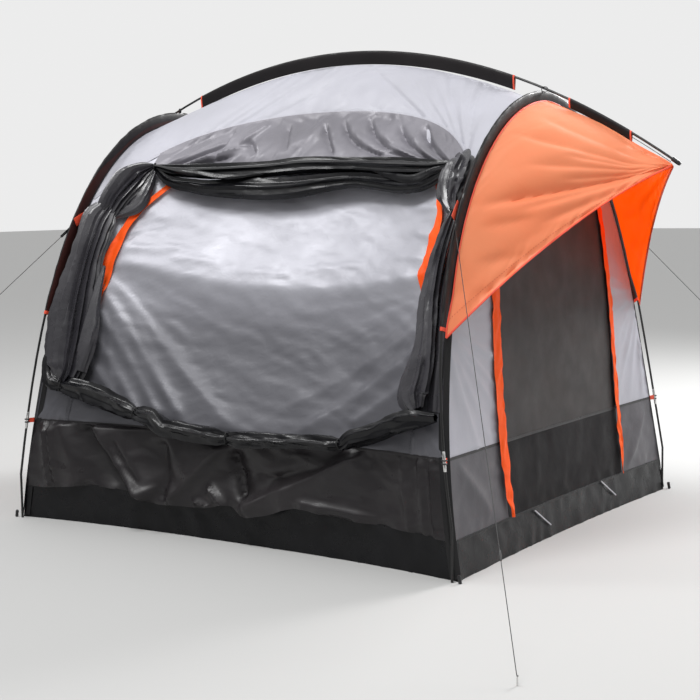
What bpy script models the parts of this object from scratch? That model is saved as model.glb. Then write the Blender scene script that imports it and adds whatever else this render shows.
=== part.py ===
"""Tailgate tent: two side arches and a ridge pole carry a sewn body with a bathtub floor.

The vehicle side faces -Y, and its tunnel sleeve is rolled up and tied round a zipped panel.
A door under an awning is in each side wall. Metres, +Z up, origin on the ground at the centre.
"""

import math

import bmesh
import bpy
import numpy as np
from mathutils import Vector

# Poles: centre lines, from the ground up
POLE_RADIUS = 0.0056
ARCH_HALF_SPAN = 1.105
ARCH_HEIGHT = 1.985
ARCH_EXPONENT = 2.45
FOOT_HALF_WIDTH = 1.242
LEAN_IN = 0.19
LEAN_EASE = 0.052
RIDGE_HEIGHT = 2.232
RIDGE_DROP = 0.199
RIDGE_HALF_REACH = 1.71

# Body: the seam under each arch, and the surfaces between the seams
SEAM_GAP_FOOT = 0.024
SEAM_GAP_SLEEVE = 0.07
SLEEVE_START_HEIGHT = 1.0
CORNER_INSET = 0.022
RIDGE_SEAM_GAP = 0.06
TUB_HEIGHT = 0.153
BAND_HEIGHT = 0.478
TAUT_SLOPE = 0.577
GROUND_BOW = 0.08
FACE_BREAK_HEIGHT = 0.5
SIDE_BOW = 0.03
FLAT_EXPONENT = 2.6
RISE_START = 0.6
RIDGE_HALF_GAP = 0.0032

# Openings in the body
OPENING_SHARE = 0.84
OPENING_TOP_MIDDLE = 1.713
OPENING_TOP_FALL = 0.18
OPENING_TOP_EXPONENT = 7.0
DOOR_HALF_WIDTH = 0.6
DOOR_TOP = 1.80
DOOR_EXPONENT = 3.2
WINDOW_CENTRE = 1.05
WINDOW_HALF_SHARE = 0.6
WINDOW_HALF_HEIGHT = 0.36
WINDOW_EXPONENT = 4.0

# Cloth and fittings
CLOTH = 0.003
KNOTS = (-0.785, 0.87)
TIES = {"right": (0.87, 0.955, 0.915), "left": (0.785, 0.91, 0.905)}
TIE_SHARE = 0.19
GATHER_HALF = {"right": 0.068, "left": 0.094}
BOTTOM_ROLL = ((-0.9, 0.66), (-0.68, 0.6), (-0.44, 0.515), (0.02, 0.47), (0.36, 0.488),
               (0.57, 0.495), (0.8, 0.595), (0.97, 0.65))
PANEL_FLAPS = {
    "left": ((0.62, 0.87), (0.9, 0.862), (1.07, 0.842), (1.22, 0.838), (1.38, 0.80), (1.5, 0.68), (1.56, 0.62)),
    "right": ((0.62, 0.885), (0.9, 0.875), (1.1, 0.835), (1.25, 0.83), (1.38, 0.835), (1.5, 0.75), (1.56, 0.70)),
}
SEW = 0.0015
CORNER_SEW = 0.006
SLEEVE_HALF_THICKNESS = 0.013
BARE_CROSSING = 0.15
SLEEVE_END_HEIGHT = 0.945
AWNING_SEW_DROP = 0.055
GUY_HEIGHT = 1.40
GUY_OUT = (0.75, 0.97)
GUY_RADIUS = 0.0015
PEG_RADIUS = 0.003
PEG_HEIGHT = 0.034
TOUCH_GAP = 0.0004
SLEEVE_PAST_POLE = 0.011
SIDES = {"right": 1, "left": -1}
ENDS = {"front": -1, "back": 1}


def smooth(value):
    """Eases a share from 0 to 1."""
    t = min(1.0, max(0.0, value))
    return t * t * (3 - 2 * t)


def pole_x(height):
    """How far an arch pole stands from the middle at a height: it leans in, less and less."""
    return FOOT_HALF_WIDTH - LEAN_IN * height + LEAN_EASE * height * height


def arch_point(angle):
    """(y, z) on an arch pole's superellipse, with angle 0 at the back foot and pi at the front."""
    cosine, sine = math.cos(angle), max(0.0, math.sin(angle))
    return ARCH_HALF_SPAN * cosine, ARCH_HEIGHT * sine ** (2 / ARCH_EXPONENT)


def arch_outward(angle):
    """The unit (y, z) that points away from the tent, square to the arch pole."""
    step = 0.002
    y0, z0 = arch_point(max(0.0, angle - step))
    y1, z1 = arch_point(min(math.pi, angle + step))
    length = math.hypot(y1 - y0, z1 - z0)
    return (z1 - z0) / length, -(y1 - y0) / length


def seam_gap(height):
    """How far the body hangs inside the pole: little at the foot, a sleeve's width higher up."""
    return SEAM_GAP_FOOT + (SEAM_GAP_SLEEVE - SEAM_GAP_FOOT) * smooth(height / SLEEVE_START_HEIGHT)


def seam_table():
    """Heights and half depths of the body's seam under an arch, from the ground to the top."""
    heights, depths = [], []
    for angle in np.linspace(0, math.pi / 2, 240):
        y, z = arch_point(angle)
        out_y, out_z = arch_outward(angle)
        gap = seam_gap(z)
        heights.append(z - gap * out_z)
        depths.append(max(0.0, y - gap * out_y))
    return np.array(heights), np.array(depths)


SEAM_HEIGHTS, SEAM_DEPTHS = seam_table()
SEAM_TOP = float(SEAM_HEIGHTS[-1])


def seam_y(height):
    """The body's half depth at its side seams."""
    return float(np.interp(height, SEAM_HEIGHTS, SEAM_DEPTHS))


def seam_x(height):
    """The body's half width at its corner seams."""
    return pole_x(height) - CORNER_INSET * max(0.0, 1 - height / SLEEVE_START_HEIGHT)


def ridge_z(x):
    """The height of the ridge pole's centre line."""
    return RIDGE_HEIGHT - RIDGE_DROP * x * x


def face_rise(height):
    """How much higher the middle of a face is than its sides, for a line at that side height."""
    full = RIDGE_HEIGHT - RIDGE_SEAM_GAP - SEAM_TOP
    return full * smooth((height - RISE_START) / (SEAM_TOP - RISE_START))


def face_middle_y(height):
    """The half depth in the middle of a face: a taut straight line down to the band, then steep."""
    top = RIDGE_HEIGHT - RIDGE_SEAM_GAP
    taut = TAUT_SLOPE * (top - height)
    foot = seam_y(0.0) - GROUND_BOW
    at_break = TAUT_SLOPE * (top - FACE_BREAK_HEIGHT)
    low = foot + (at_break - foot) * height / FACE_BREAK_HEIGHT
    return max(0.0, min(taut, low))


def face_point(across, height, end):
    """A point of the front (end -1) or back (end 1) face: across -1 to 1, height at its sides."""
    upper = smooth((height / SEAM_TOP - 0.7) / 0.3)
    flat = 1 - abs(across) ** (FLAT_EXPONENT - 0.6 * upper)
    z = height + face_rise(height) * flat
    side = seam_y(height)
    middle = face_middle_y(height + face_rise(height))
    y = max(RIDGE_HALF_GAP, side + (middle - side) * flat)
    return Vector((across * seam_x(height), end * y, z))


def face_normal(across, height, end):
    """The unit normal of a face, pointing out of the tent."""
    step = 0.004
    du = face_point(across + step, height, end) - face_point(across - step, height, end)
    dv = face_point(across, height + step, end) - face_point(across, height - step, end)
    return (du.cross(dv) * -end).normalized()


def face_off(across, height, end, out):
    """A point that stands off a face by out."""
    return face_point(across, height, end) + face_normal(across, height, end) * out


def wall_point(y, height, side, out=0.0):
    """A point of a side wall at a depth and height, bowed in a little near the ground."""
    share = y / max(seam_y(height), 0.01)
    bow = SIDE_BOW * max(0.0, 1 - height) * max(0.0, 1 - share * share)
    return Vector((side * (seam_x(height) - bow + out), y, height))


def opening_top(across):
    """The side height of the seam where the roof ends and the tunnel sleeve begins."""
    return OPENING_TOP_MIDDLE - OPENING_TOP_FALL * abs(across) ** OPENING_TOP_EXPONENT


def door_half(height):
    """A door's half width at a height."""
    if height <= BAND_HEIGHT:
        return DOOR_HALF_WIDTH
    share = min(1.0, (height - BAND_HEIGHT) / (DOOR_TOP - BAND_HEIGHT))
    return DOOR_HALF_WIDTH * (1 - share**DOOR_EXPONENT) ** (1 / DOOR_EXPONENT)


def door_top(y):
    """The height of a door's outline over a depth."""
    share = min(1.0, abs(y) / DOOR_HALF_WIDTH)
    rise = (1 - share**DOOR_EXPONENT) ** (1 / DOOR_EXPONENT)
    return BAND_HEIGHT + (DOOR_TOP - BAND_HEIGHT) * rise


def seam_reach(angle):
    """How far the side seam is from the foot of the upper wall's middle, along an angle."""
    low, high = 0.3, 2.0
    for _ in range(40):
        middle = (low + high) / 2
        height = BAND_HEIGHT + middle * math.sin(angle)
        inside = height < SEAM_TOP and abs(middle * math.cos(angle)) < seam_y(height)
        low, high = (middle, high) if inside else (low, middle)
    return low


def door_reach(angle):
    """How far a door's outline is from the foot of the upper wall's middle, along an angle."""
    wide = abs(math.cos(angle)) / DOOR_HALF_WIDTH
    tall = abs(math.sin(angle)) / (DOOR_TOP - BAND_HEIGHT)
    return (wide**DOOR_EXPONENT + tall**DOOR_EXPONENT) ** (-1 / DOOR_EXPONENT)


def mix(a, b, share):
    """The number that lies a share of the way from a to b."""
    return a + (b - a) * share


def clear_scene():
    """Removes what the file opened with."""
    for old in list(bpy.data.objects):
        bpy.data.objects.remove(old, do_unlink=True)


def new_collection(name):
    """A collection under the scene."""
    made = bpy.data.collections.new(name)
    bpy.context.scene.collection.children.link(made)
    return made


def material(name, colour, roughness, metallic=0.0):
    """A plain Principled material."""
    made = bpy.data.materials.new(name)
    made.use_nodes = True
    shader = made.node_tree.nodes["Principled BSDF"]
    shader.inputs["Base Color"].default_value = (*colour, 1.0)
    shader.inputs["Roughness"].default_value = roughness
    shader.inputs["Metallic"].default_value = metallic
    return made


class Workshop:
    """Holds the collection, the root empty and the materials, and adds pieces to them."""

    def __init__(self):
        self.parts = new_collection("tailgate_tent")
        self.cutters = new_collection("cutters")
        self.root = bpy.data.objects.new("tent_origin", None)
        self.parts.objects.link(self.root)
        self.materials = {
            "silver_polyester": material("silver_polyester", (0.62, 0.62, 0.66), 0.45),
            "charcoal_polyester": material("charcoal_polyester", (0.055, 0.053, 0.058), 0.5),
            "grey_polyester": material("grey_polyester", (0.27, 0.27, 0.29), 0.4),
            "sleeve_polyester": material("sleeve_polyester", (0.03, 0.03, 0.034), 0.35),
            "orange_polyester": material("orange_polyester", (0.95, 0.16, 0.03), 0.5),
            "black_polyethylene": material("black_polyethylene", (0.016, 0.016, 0.02), 0.4),
            "dark_mesh": material("dark_mesh", (0.045, 0.04, 0.042), 0.7),
            "pole_fibreglass": material("pole_fibreglass", (0.012, 0.012, 0.012), 0.3),
            "black_webbing": material("black_webbing", (0.02, 0.02, 0.022), 0.7),
            "guy_cord": material("guy_cord", (0.2, 0.2, 0.2), 0.7),
            "peg_steel": material("peg_steel", (0.6, 0.6, 0.6), 0.35, 1.0),
        }

    def add(self, name, data, place, finish):
        """Puts a piece in the collection, at its place, under the root."""
        made = bpy.data.objects.new(name, data)
        made.location = place
        made.parent = self.root
        data.materials.append(self.materials[finish])
        self.parts.objects.link(made)
        return made

    def sheet(self, name, place, segments, finish, closed=False, thickness=CLOTH):
        """A grid laid on the surface place(u, v), with u and v from 0 to 1, made thick inwards."""
        centre = place(0.5, 0.5)
        shape = bmesh.new()
        bmesh.ops.create_grid(shape, x_segments=segments[0], y_segments=segments[1], size=0.5)
        for vertex in shape.verts:
            vertex.co = place(vertex.co.x + 0.5, vertex.co.y + 0.5) - centre
        if closed:
            bmesh.ops.remove_doubles(shape, verts=shape.verts[:], dist=0.0001)
        data = bpy.data.meshes.new(name)
        shape.to_mesh(data)
        shape.free()
        data.shade_smooth()
        made = self.add(name, data, centre, finish)
        wall = made.modifiers.new("thickness", "SOLIDIFY")
        wall.thickness = thickness
        wall.offset = -1
        return made

    def bundle(self, name, centre, frame, half_width, half_depth, finish, rings=16, around=10):
        """A gathered roll of cloth: a sphere drawn out along centre(t), pinched at both ends."""
        middle = centre(0.5)
        shape = bmesh.new()
        bmesh.ops.create_uvsphere(shape, u_segments=around, v_segments=rings, radius=1.0)
        for vertex in shape.verts:
            along = math.acos(min(1.0, max(-1.0, vertex.co.z))) / math.pi
            angle = math.atan2(vertex.co.y, vertex.co.x)
            round_end = 0.0 if math.hypot(vertex.co.x, vertex.co.y) < 1e-6 else 1.0
            wide, deep = frame(along)
            spread = wide * (math.cos(angle) * half_width(along) * round_end)
            depth = deep * (math.sin(angle) * half_depth(along) * round_end)
            vertex.co = centre(along) + spread + depth - middle
        bmesh.ops.recalc_face_normals(shape, faces=shape.faces[:])
        if shape.calc_volume(signed=True) < 0:
            bmesh.ops.reverse_faces(shape, faces=shape.faces[:])
        data = bpy.data.meshes.new(name)
        shape.to_mesh(data)
        shape.free()
        data.shade_smooth()
        return self.add(name, data, middle, finish)

    def rod(self, name, points, radius, finish):
        """A round rod along points, with flat ends."""
        centre = points[len(points) // 2].copy()
        data = bpy.data.curves.new(name, "CURVE")
        data.dimensions = "3D"
        data.bevel_depth = radius
        data.bevel_resolution = 2
        data.use_fill_caps = True
        line = data.splines.new("POLY")
        line.points.add(len(points) - 1)
        for knot, point in zip(line.points, points):
            knot.co = (*(point - centre), 1.0)
        return self.add(name, data, centre, finish)


def arch_line(side, low, high, count):
    """Points along an arch pole between two angles."""
    points = []
    for angle in np.linspace(low, high, count):
        y, z = arch_point(angle)
        points.append(Vector((side * pole_x(z), y, z)))
    return points


def add_floor(shop):
    """The bathtub floor: a box open at the top, whose sides follow the foot of the body."""
    shape = bmesh.new()
    bmesh.ops.create_cube(shape, size=2.0)
    bmesh.ops.subdivide_edges(shape, edges=shape.edges[:], cuts=5, use_grid_fill=True)
    open_top = [f for f in shape.faces if f.calc_center_median().z > 0.999]
    bmesh.ops.delete(shape, geom=open_top, context="FACES")
    for vertex in shape.verts:
        across, deep = vertex.co.x, vertex.co.y
        height = TUB_HEIGHT * (vertex.co.z + 1) / 2
        front = face_point(across, height, 1.0)
        half_depth = front.y
        half_width = wall_point(deep * seam_y(height), height, 1).x
        vertex.co = (across * half_width, deep * half_depth, height)
    data = bpy.data.meshes.new("bathtub_floor")
    shape.to_mesh(data)
    shape.free()
    made = shop.add("bathtub_floor", data, (0, 0, 0), "black_polyethylene")
    wall = made.modifiers.new("thickness", "SOLIDIFY")
    wall.thickness = CLOTH
    wall.offset = -1
    wall.use_even_offset = True


def add_face(shop, end, across, heights, name, segments, finish):
    """A panel of the front or back face between two shares across and two side heights."""

    def place(u, v):
        share = mix(across[0], across[1], u if end < 0 else 1 - u)
        low = heights[0](share) if callable(heights[0]) else heights[0]
        high = heights[1](share) if callable(heights[1]) else heights[1]
        return face_point(share, mix(low, high, v), end)

    return shop.sheet(name, place, segments, finish)


def add_roof(shop, end, name, shares):
    """A roof slope, from the seam under it to the ridge, with its columns at the given shares."""

    def place(u, v):
        share = shares[round((u if end < 0 else 1 - u) * (len(shares) - 1))]
        low = opening_top(share) + SEW
        return face_point(share, mix(low, SEAM_TOP, 1 - (1 - v) ** 2), end)

    return shop.sheet(name, place, (len(shares) - 1, 7), "silver_polyester")


def add_front(shop):
    """The vehicle side: dark band, grey margins, roof, and the zipped panel in the opening."""
    edge = 1 - CORNER_SEW
    end = ENDS["front"]
    low_top = BAND_HEIGHT - SEW
    beside = [BAND_HEIGHT, lambda u: opening_top(u) - SEW]
    add_face(shop, end, (-edge, edge), (TUB_HEIGHT + SEW, low_top), "front_band", (12, 3), "charcoal_polyester")
    inner = OPENING_SHARE + SEW
    add_face(shop, end, (inner, edge), beside, "front_margin_right", (3, 9), "grey_polyester")
    add_face(shop, end, (-edge, -inner), beside, "front_margin_left", (3, 9), "grey_polyester")
    opening = (-OPENING_SHARE, OPENING_SHARE)
    columns = [*np.linspace(-edge, -inner, 4), *np.linspace(*opening, 17)[1:-1], *np.linspace(inner, edge, 4)]
    add_roof(shop, end, "roof_front", [float(share) for share in columns])
    add_face(shop, end, opening, beside, "vehicle_side_panel", (16, 10), "grey_polyester")


def add_back(shop):
    """The far side: dark band, silver wall round a mesh window, and roof."""
    edge = 1 - CORNER_SEW
    end = ENDS["back"]
    low = (TUB_HEIGHT + SEW, BAND_HEIGHT - SEW)
    add_face(shop, end, (-edge, edge), low, "back_band", (12, 3), "charcoal_polyester")
    columns = [edge * math.tan(math.radians(turn)) for turn in np.linspace(-45, 45, 13)]
    add_roof(shop, end, "roof_back", columns)

    def window_rim(angle, grow):
        wide = abs(math.cos(angle)) / (WINDOW_HALF_SHARE + grow)
        tall = abs(math.sin(angle)) / (WINDOW_HALF_HEIGHT + grow)
        reach = (wide**WINDOW_EXPONENT + tall**WINDOW_EXPONENT) ** (-1 / WINDOW_EXPONENT)
        return reach * math.cos(angle), WINDOW_CENTRE + reach * math.sin(angle)

    def wall_rim(angle):
        middle = (BAND_HEIGHT + opening_top(1.0)) / 2
        half_height = (opening_top(1.0) - BAND_HEIGHT) / 2 - SEW
        boxed = max(abs(math.cos(angle)), abs(math.sin(angle)))
        across = edge * math.cos(angle) / boxed
        share = math.sin(angle) / boxed
        top = half_height + max(0.0, share) * (opening_top(across) - opening_top(1.0))
        return across, middle + share * top

    def frame(u, v):
        angle = math.tau * (u + 0.125)
        inside = window_rim(angle, SEW)
        outside = wall_rim(angle)
        across, height = (mix(outside[k], inside[k], v) for k in (0, 1))
        return face_point(across, height, end)

    def window(u, v):
        share = math.sin(math.pi / 2 * mix(1, -1, u)) * 0.985
        across = share * (WINDOW_HALF_SHARE - 0.004)
        flat = (1 - abs(share) ** WINDOW_EXPONENT) ** (1 / WINDOW_EXPONENT)
        half = (WINDOW_HALF_HEIGHT - 0.006) * flat
        return face_point(across, WINDOW_CENTRE + mix(-half, half, v), end)

    shop.sheet("back_wall", frame, (48, 3), "silver_polyester", closed=True)
    shop.sheet("back_window", window, (10, 4), "dark_mesh")


def add_side_wall(shop, word, side):
    """A side wall: dark bands beside the door, the silver arch over it, the door and its flaps."""

    def turned(u):
        return u if side > 0 else 1 - u

    for end_word, end in ENDS.items():

        def band(u, v, end=end):
            height = mix(TUB_HEIGHT + SEW, BAND_HEIGHT - SEW, v)
            share = turned(u) if end > 0 else 1 - turned(u)
            near, far = DOOR_HALF_WIDTH + SEW, seam_y(height) - CORNER_SEW
            return wall_point(end * mix(near, far, share), height, side)

        shop.sheet(f"{word}_band_{end_word}", band, (4, 3), "charcoal_polyester")

    def arch(u, v):
        angle = math.pi * (1 - turned(u))
        near, far = door_reach(angle) + SEW, seam_reach(angle) - CORNER_SEW
        reach = mix(near, far, v)
        return wall_point(reach * math.cos(angle), BAND_HEIGHT + reach * math.sin(angle), side)

    def door(u, v):
        y = math.sin(math.pi / 2 * mix(-1, 1, turned(u))) * (DOOR_HALF_WIDTH - 0.006)
        height = mix(TUB_HEIGHT + SEW, door_top(y) - 0.005, v)
        return wall_point(y, height, side)

    shop.sheet(f"{word}_wall_arch", arch, (40, 2), "silver_polyester")
    shop.sheet(f"{word}_door", door, (14, 8), "dark_mesh")

    for end_word, end in ENDS.items():
        width = 0.055 if end < 0 else 0.04

        def flap(u, v, end=end, width=width):
            height = mix(TUB_HEIGHT + 0.006, 1.62, v)
            share = turned(u) if end > 0 else 1 - turned(u)
            y = door_half(height) + mix(-0.5, 0.5, share) * width
            return wall_point(end * y, height, side, out=0.008)

        shop.sheet(f"{word}_door_flap_{end_word}", flap, (2, 12), "orange_polyester")


def add_panel_flaps(shop):
    """The orange zip flaps on the vehicle side panel."""
    for word, side in SIDES.items():
        heights, shares = zip(*PANEL_FLAPS[word])

        def flap(u, v, side=side, heights=heights, shares=shares):
            height = mix(0.64, 1.56, v)
            centre = float(np.interp(height, heights, shares))
            across = side * centre + mix(-0.5, 0.5, u) * 0.035
            return face_off(across, height, ENDS["front"], 0.012)

        shop.sheet(f"panel_flap_{word}", flap, (2, 10), "orange_polyester")


def pinch(share, sharp=0.5):
    """Nothing at both ends and full in the middle, as where a roll of cloth is tied."""
    return max(0.0, math.sin(math.pi * share)) ** sharp


def add_roll(shop, name, route, half_width, half_depth):
    """A roll that follows route(t) = (across, height, out) over the front face."""
    end = ENDS["front"]

    def centre(t):
        return face_off(*route(t)[:2], end, route(t)[2])

    def frame(t):
        step = 0.01
        line = (centre(min(1, t + step)) - centre(max(0, t - step))).normalized()
        out = face_normal(*route(t)[:2], end)
        deep = (out - line * out.dot(line)).normalized()
        return line.cross(deep).normalized(), deep

    shop.bundle(name, centre, frame, half_width, half_depth, "sleeve_polyester")


def add_tunnel_sleeve(shop):
    """The tunnel sleeve that would wrap a vehicle, rolled up and tied round the panel."""
    end = ENDS["front"]
    left, right = KNOTS

    def veil(u, v):
        across = mix(left, right, mix(0.03, 0.97, u))
        high = opening_top(across) - 0.004
        low = 1.503 + 0.08 * (2 * u - 1) ** 2
        return face_off(across, mix(low, high, v), end, mix(0.021, 0.008, v))

    shop.sheet("sleeve_veil", veil, (14, 3), "sleeve_polyester")

    def top_route(t):
        return mix(left, right, t), mix(1.587, 1.43, pinch(t, 0.6)), mix(0.03, 0.095, pinch(t))

    add_roll(
        shop,
        "sleeve_roll_top",
        top_route,
        lambda t: mix(0.018, 0.088, pinch(t, 0.4)),
        lambda t: mix(0.014, 0.06, pinch(t)),
    )

    for word, side in SIDES.items():
        knot, tie, foot = TIES[word]
        half = GATHER_HALF[word]

        def gather_width(t, half=half):
            if t < TIE_SHARE:
                return mix(0.014, 0.066, pinch(t / TIE_SHARE))
            return mix(0.018, half, pinch((t - TIE_SHARE) / (1 - TIE_SHARE), 0.35))

        def gather_route(t, side=side, knot=knot, tie=tie, foot=foot):
            to_tie = smooth(t / TIE_SHARE)
            past_tie = smooth((t - TIE_SHARE) / 0.2)
            across = side * mix(mix(knot, tie, to_tie), foot, past_tie)
            return across, mix(1.575, 0.70, t), mix(0.047, 0.06, t)

        name = f"sleeve_gather_{word}"
        add_roll(shop, name, gather_route, gather_width, lambda t, w=gather_width: w(t) * 0.5)

    shares, heights = zip(*BOTTOM_ROLL)

    def bottom_route(t):
        across = mix(shares[0], shares[-1], t)
        return across, float(np.interp(across, shares, heights)), mix(0.05, 0.07, pinch(t))

    add_roll(
        shop,
        "sleeve_roll_bottom",
        bottom_route,
        lambda t: mix(0.022, 0.058, pinch(t, 0.3)),
        lambda t: mix(0.022, 0.054, pinch(t, 0.3)),
    )


def add_poles(shop):
    """The two arch poles, and the ridge pole over them."""
    for word, side in SIDES.items():
        points = arch_line(side, 0.0, math.pi, 49)
        for foot, above in ((0, 1), (-1, -2)):
            points[foot] = Vector((points[above].x, points[above].y, 0))
        shop.rod(f"arch_pole_{word}", points, POLE_RADIUS, "pole_fibreglass")
    reach = RIDGE_HALF_REACH
    points = [Vector((x, 0, ridge_z(x))) for x in np.linspace(-reach, reach, 41)]
    shop.rod("ridge_pole", points, POLE_RADIUS, "pole_fibreglass")


def sleeve_ring(u, reach):
    """A flat teardrop round a pole: (out from the seam to past the pole, sideways)."""
    angle = math.tau * u
    out = (1 - math.cos(angle)) / 2
    half = SLEEVE_HALF_THICKNESS * (0.35 + 0.65 * smooth(out * 1.3))
    sine = math.sin(angle)
    return out * reach, half * math.copysign(abs(sine) ** 0.6, sine)


def add_pole_sleeves(shop):
    """Cloth tubes round the poles, sewn along the seams."""
    seam_off = 0.008

    def sleeve_angle():
        for angle in np.linspace(0, math.pi / 2, 400):
            if arch_point(angle)[1] > SLEEVE_END_HEIGHT:
                return float(angle)
        return 0.0

    start = sleeve_angle()
    for word, side in SIDES.items():

        def arch_sleeve(u, v, side=side):
            angle = mix(start, math.pi - start, v)
            y, z = arch_point(angle)
            out_y, out_z = arch_outward(angle)
            gap = seam_gap(z)
            out, sideways = sleeve_ring(u if side < 0 else 1 - u, gap + SLEEVE_PAST_POLE - seam_off)
            out += seam_off - gap
            x = side * pole_x(z) + sideways * side
            return Vector((x, y + out * out_y, z + out * out_z))

        shop.sheet(f"arch_sleeve_{word}", arch_sleeve, (8, 26), "sleeve_polyester", True, 0.0015)

    def ridge_sleeve(low, high, top_gap):
        def place(u, v):
            x = mix(low, high, v)
            gap = top_gap(x)
            out, sideways = sleeve_ring(1 - u, gap + SLEEVE_PAST_POLE - seam_off)
            return Vector((x, sideways, ridge_z(x) - gap + seam_off + out))

        return place

    arch_x = pole_x(ARCH_HEIGHT)
    inner, outer = arch_x - BARE_CROSSING, arch_x + BARE_CROSSING * 0.8
    middle = ridge_sleeve(-inner, inner, lambda x: RIDGE_SEAM_GAP)
    shop.sheet("ridge_sleeve_middle", middle, (8, 12), "sleeve_polyester", True, 0.0015)
    for word, side in SIDES.items():
        low, high = sorted((side * outer, side * (outer + 0.3)))
        short = ridge_sleeve(low, high, lambda x: AWNING_SEW_DROP)
        shop.sheet(f"ridge_sleeve_{word}", short, (8, 4), "sleeve_polyester", True, 0.0015)


def awning_tip(side):
    """Where an awning's corner is held under the end of the ridge pole."""
    x = RIDGE_HALF_REACH - 0.015
    return Vector((side * x, 0, ridge_z(x) - 0.022))


def crest_drop(along):
    """How far an awning's crest hangs under the ridge pole, from the seam (0) to the tip (1)."""
    sewn = mix(SEAM_GAP_SLEEVE, AWNING_SEW_DROP, smooth(along * 2))
    return mix(sewn, 0.022, smooth((along - 0.7) / 0.3))


def add_awnings(shop):
    """A peaked awning over each door: two panels from the arch seam to the ridge pole's end."""
    seam_off = 0.009
    crest_gap = 0.0025
    near_tip = 0.985

    def seam_angle_at(height):
        for angle in np.linspace(0, math.pi / 2, 400):
            if arch_point(angle)[1] > height:
                return float(angle)
        return math.pi / 2

    low = seam_angle_at(SLEEVE_END_HEIGHT)
    for word, side in SIDES.items():
        for end_word, end in ENDS.items():

            def panel(u, v, side=side, end=end):
                angle = mix(low, math.pi / 2 - 0.004, v)
                y, z = arch_point(angle)
                out_y, out_z = arch_outward(angle)
                gap = seam_gap(z) - 0.004
                seam = Vector((
                    side * (pole_x(z) + SLEEVE_HALF_THICKNESS + seam_off),
                    end * max(crest_gap, y - gap * out_y),
                    z - gap * out_z,
                ))
                tip = awning_tip(side) + Vector((0, end * crest_gap, 0))
                along = near_tip * ((1 - u) if side * end > 0 else u)
                point = seam.lerp(tip, along)
                crest_x = mix(pole_x(ARCH_HEIGHT) + 0.022, abs(tip.x), along)
                straight = mix(SEAM_TOP + 0.004, tip.z, along)
                crest = (ridge_z(crest_x) - crest_drop(along) - straight) * v**3
                cut = 0.30 * along * (1 - along) * (1 - v) ** 2
                return point + Vector((0, -end * cut * 0.4, crest + cut))

            shop.sheet(f"{word}_awning_{end_word}", panel, (8, 8), "orange_polyester")


def corner_signs():
    """Names and signs of the four corners."""
    for end_word, end in ENDS.items():
        for word, side in SIDES.items():
            yield f"{end_word}_{word}", side, end


def add_leg_clips(shop):
    """A clip on each leg, with its webbing to the body's corner, made once and shared."""
    ring = bmesh.new()
    bmesh.ops.create_cone(ring, cap_ends=True, segments=12, radius1=0.012, radius2=0.012, depth=0.024)
    solid = bpy.data.meshes.new("clip_ring")
    ring.to_mesh(solid)
    ring.free()
    bore = bmesh.new()
    bmesh.ops.create_cone(bore, cap_ends=True, segments=12, radius1=0.0083, radius2=0.0083, depth=0.1)
    hole = bpy.data.meshes.new("clip_bore")
    bore.to_mesh(hole)
    bore.free()
    strap = bmesh.new()
    bmesh.ops.create_cube(strap, size=1.0)
    foot = arch_foot_at(BAND_HEIGHT)
    length = foot.y - seam_y(BAND_HEIGHT) - 0.010
    for vertex in strap.verts:
        vertex.co.x *= 0.003
        vertex.co.y = 0.009 + (vertex.co.y + 0.5) * (length - 0.009)
        vertex.co.z *= 0.02
    tape = bpy.data.meshes.new("clip_tape")
    strap.to_mesh(tape)
    strap.free()
    guides = []
    for data in (hole, tape):
        guide = bpy.data.objects.new(data.name, data)
        guide.hide_render = True
        guide.display_type = "WIRE"
        shop.cutters.objects.link(guide)
        guides.append(guide)
    pattern = bpy.data.objects.new("clip_pattern", solid)
    pattern.hide_render = True
    pattern.display_type = "WIRE"
    shop.cutters.objects.link(pattern)
    for guide, action in zip(guides, ("DIFFERENCE", "UNION")):
        step = pattern.modifiers.new(action.lower(), "BOOLEAN")
        step.operation = action
        step.object = guide
    bpy.context.view_layer.update()
    evaluated = pattern.evaluated_get(bpy.context.evaluated_depsgraph_get())
    clip = bpy.data.meshes.new_from_object(evaluated)
    clip.materials.clear()
    clip.materials.append(shop.materials["black_webbing"])
    for name, side, end in corner_signs():
        made = bpy.data.objects.new(f"leg_clip_{name}", clip)
        made.location = (side * foot.x, end * foot.y, foot.z)
        made.rotation_euler = (0, 0, 0 if end < 0 else math.pi)
        made.parent = shop.root
        shop.parts.objects.link(made)


def arch_foot_at(height):
    """The front half of an arch pole at a height, as positive x and y."""
    share = (height / ARCH_HEIGHT) ** ARCH_EXPONENT
    return Vector((pole_x(height), ARCH_HALF_SPAN * math.sqrt(1 - share), height))


def add_guy_lines(shop):
    """A taut line from each leg's sleeve to a hooked peg."""
    hold = arch_foot_at(GUY_HEIGHT)
    for name, side, end in corner_signs():
        top = Vector((side * hold.x, end * hold.y, hold.z))
        peg_x = side * (FOOT_HALF_WIDTH + GUY_OUT[0])
        peg_y = end * (ARCH_HALF_SPAN + GUY_OUT[1])
        away = Vector((peg_x - top.x, peg_y - top.y, 0)).normalized()
        base = Vector((peg_x, peg_y, 0))
        neck = base + Vector((0, 0, PEG_HEIGHT * 0.6))
        along = (neck - top).normalized()
        level = math.hypot(along.x, along.y)
        short = (PEG_RADIUS + GUY_RADIUS + TOUCH_GAP) / level
        line = [top + along * 0.03, neck - along * short]
        shop.rod(f"guy_line_{name}", line, GUY_RADIUS, "guy_cord")
        hook = [base, base + Vector((0, 0, PEG_HEIGHT * 0.8))]
        for turn in (0.35, 0.75, 1.15, 1.6):
            lift = Vector((0, 0, 0.008 * math.sin(turn)))
            hook.append(base + Vector((0, 0, PEG_HEIGHT * 0.8)) + away * 0.008 * (1 - math.cos(turn)) + lift)
        shop.rod(f"guy_peg_{name}", hook, PEG_RADIUS, "peg_steel")


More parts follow.
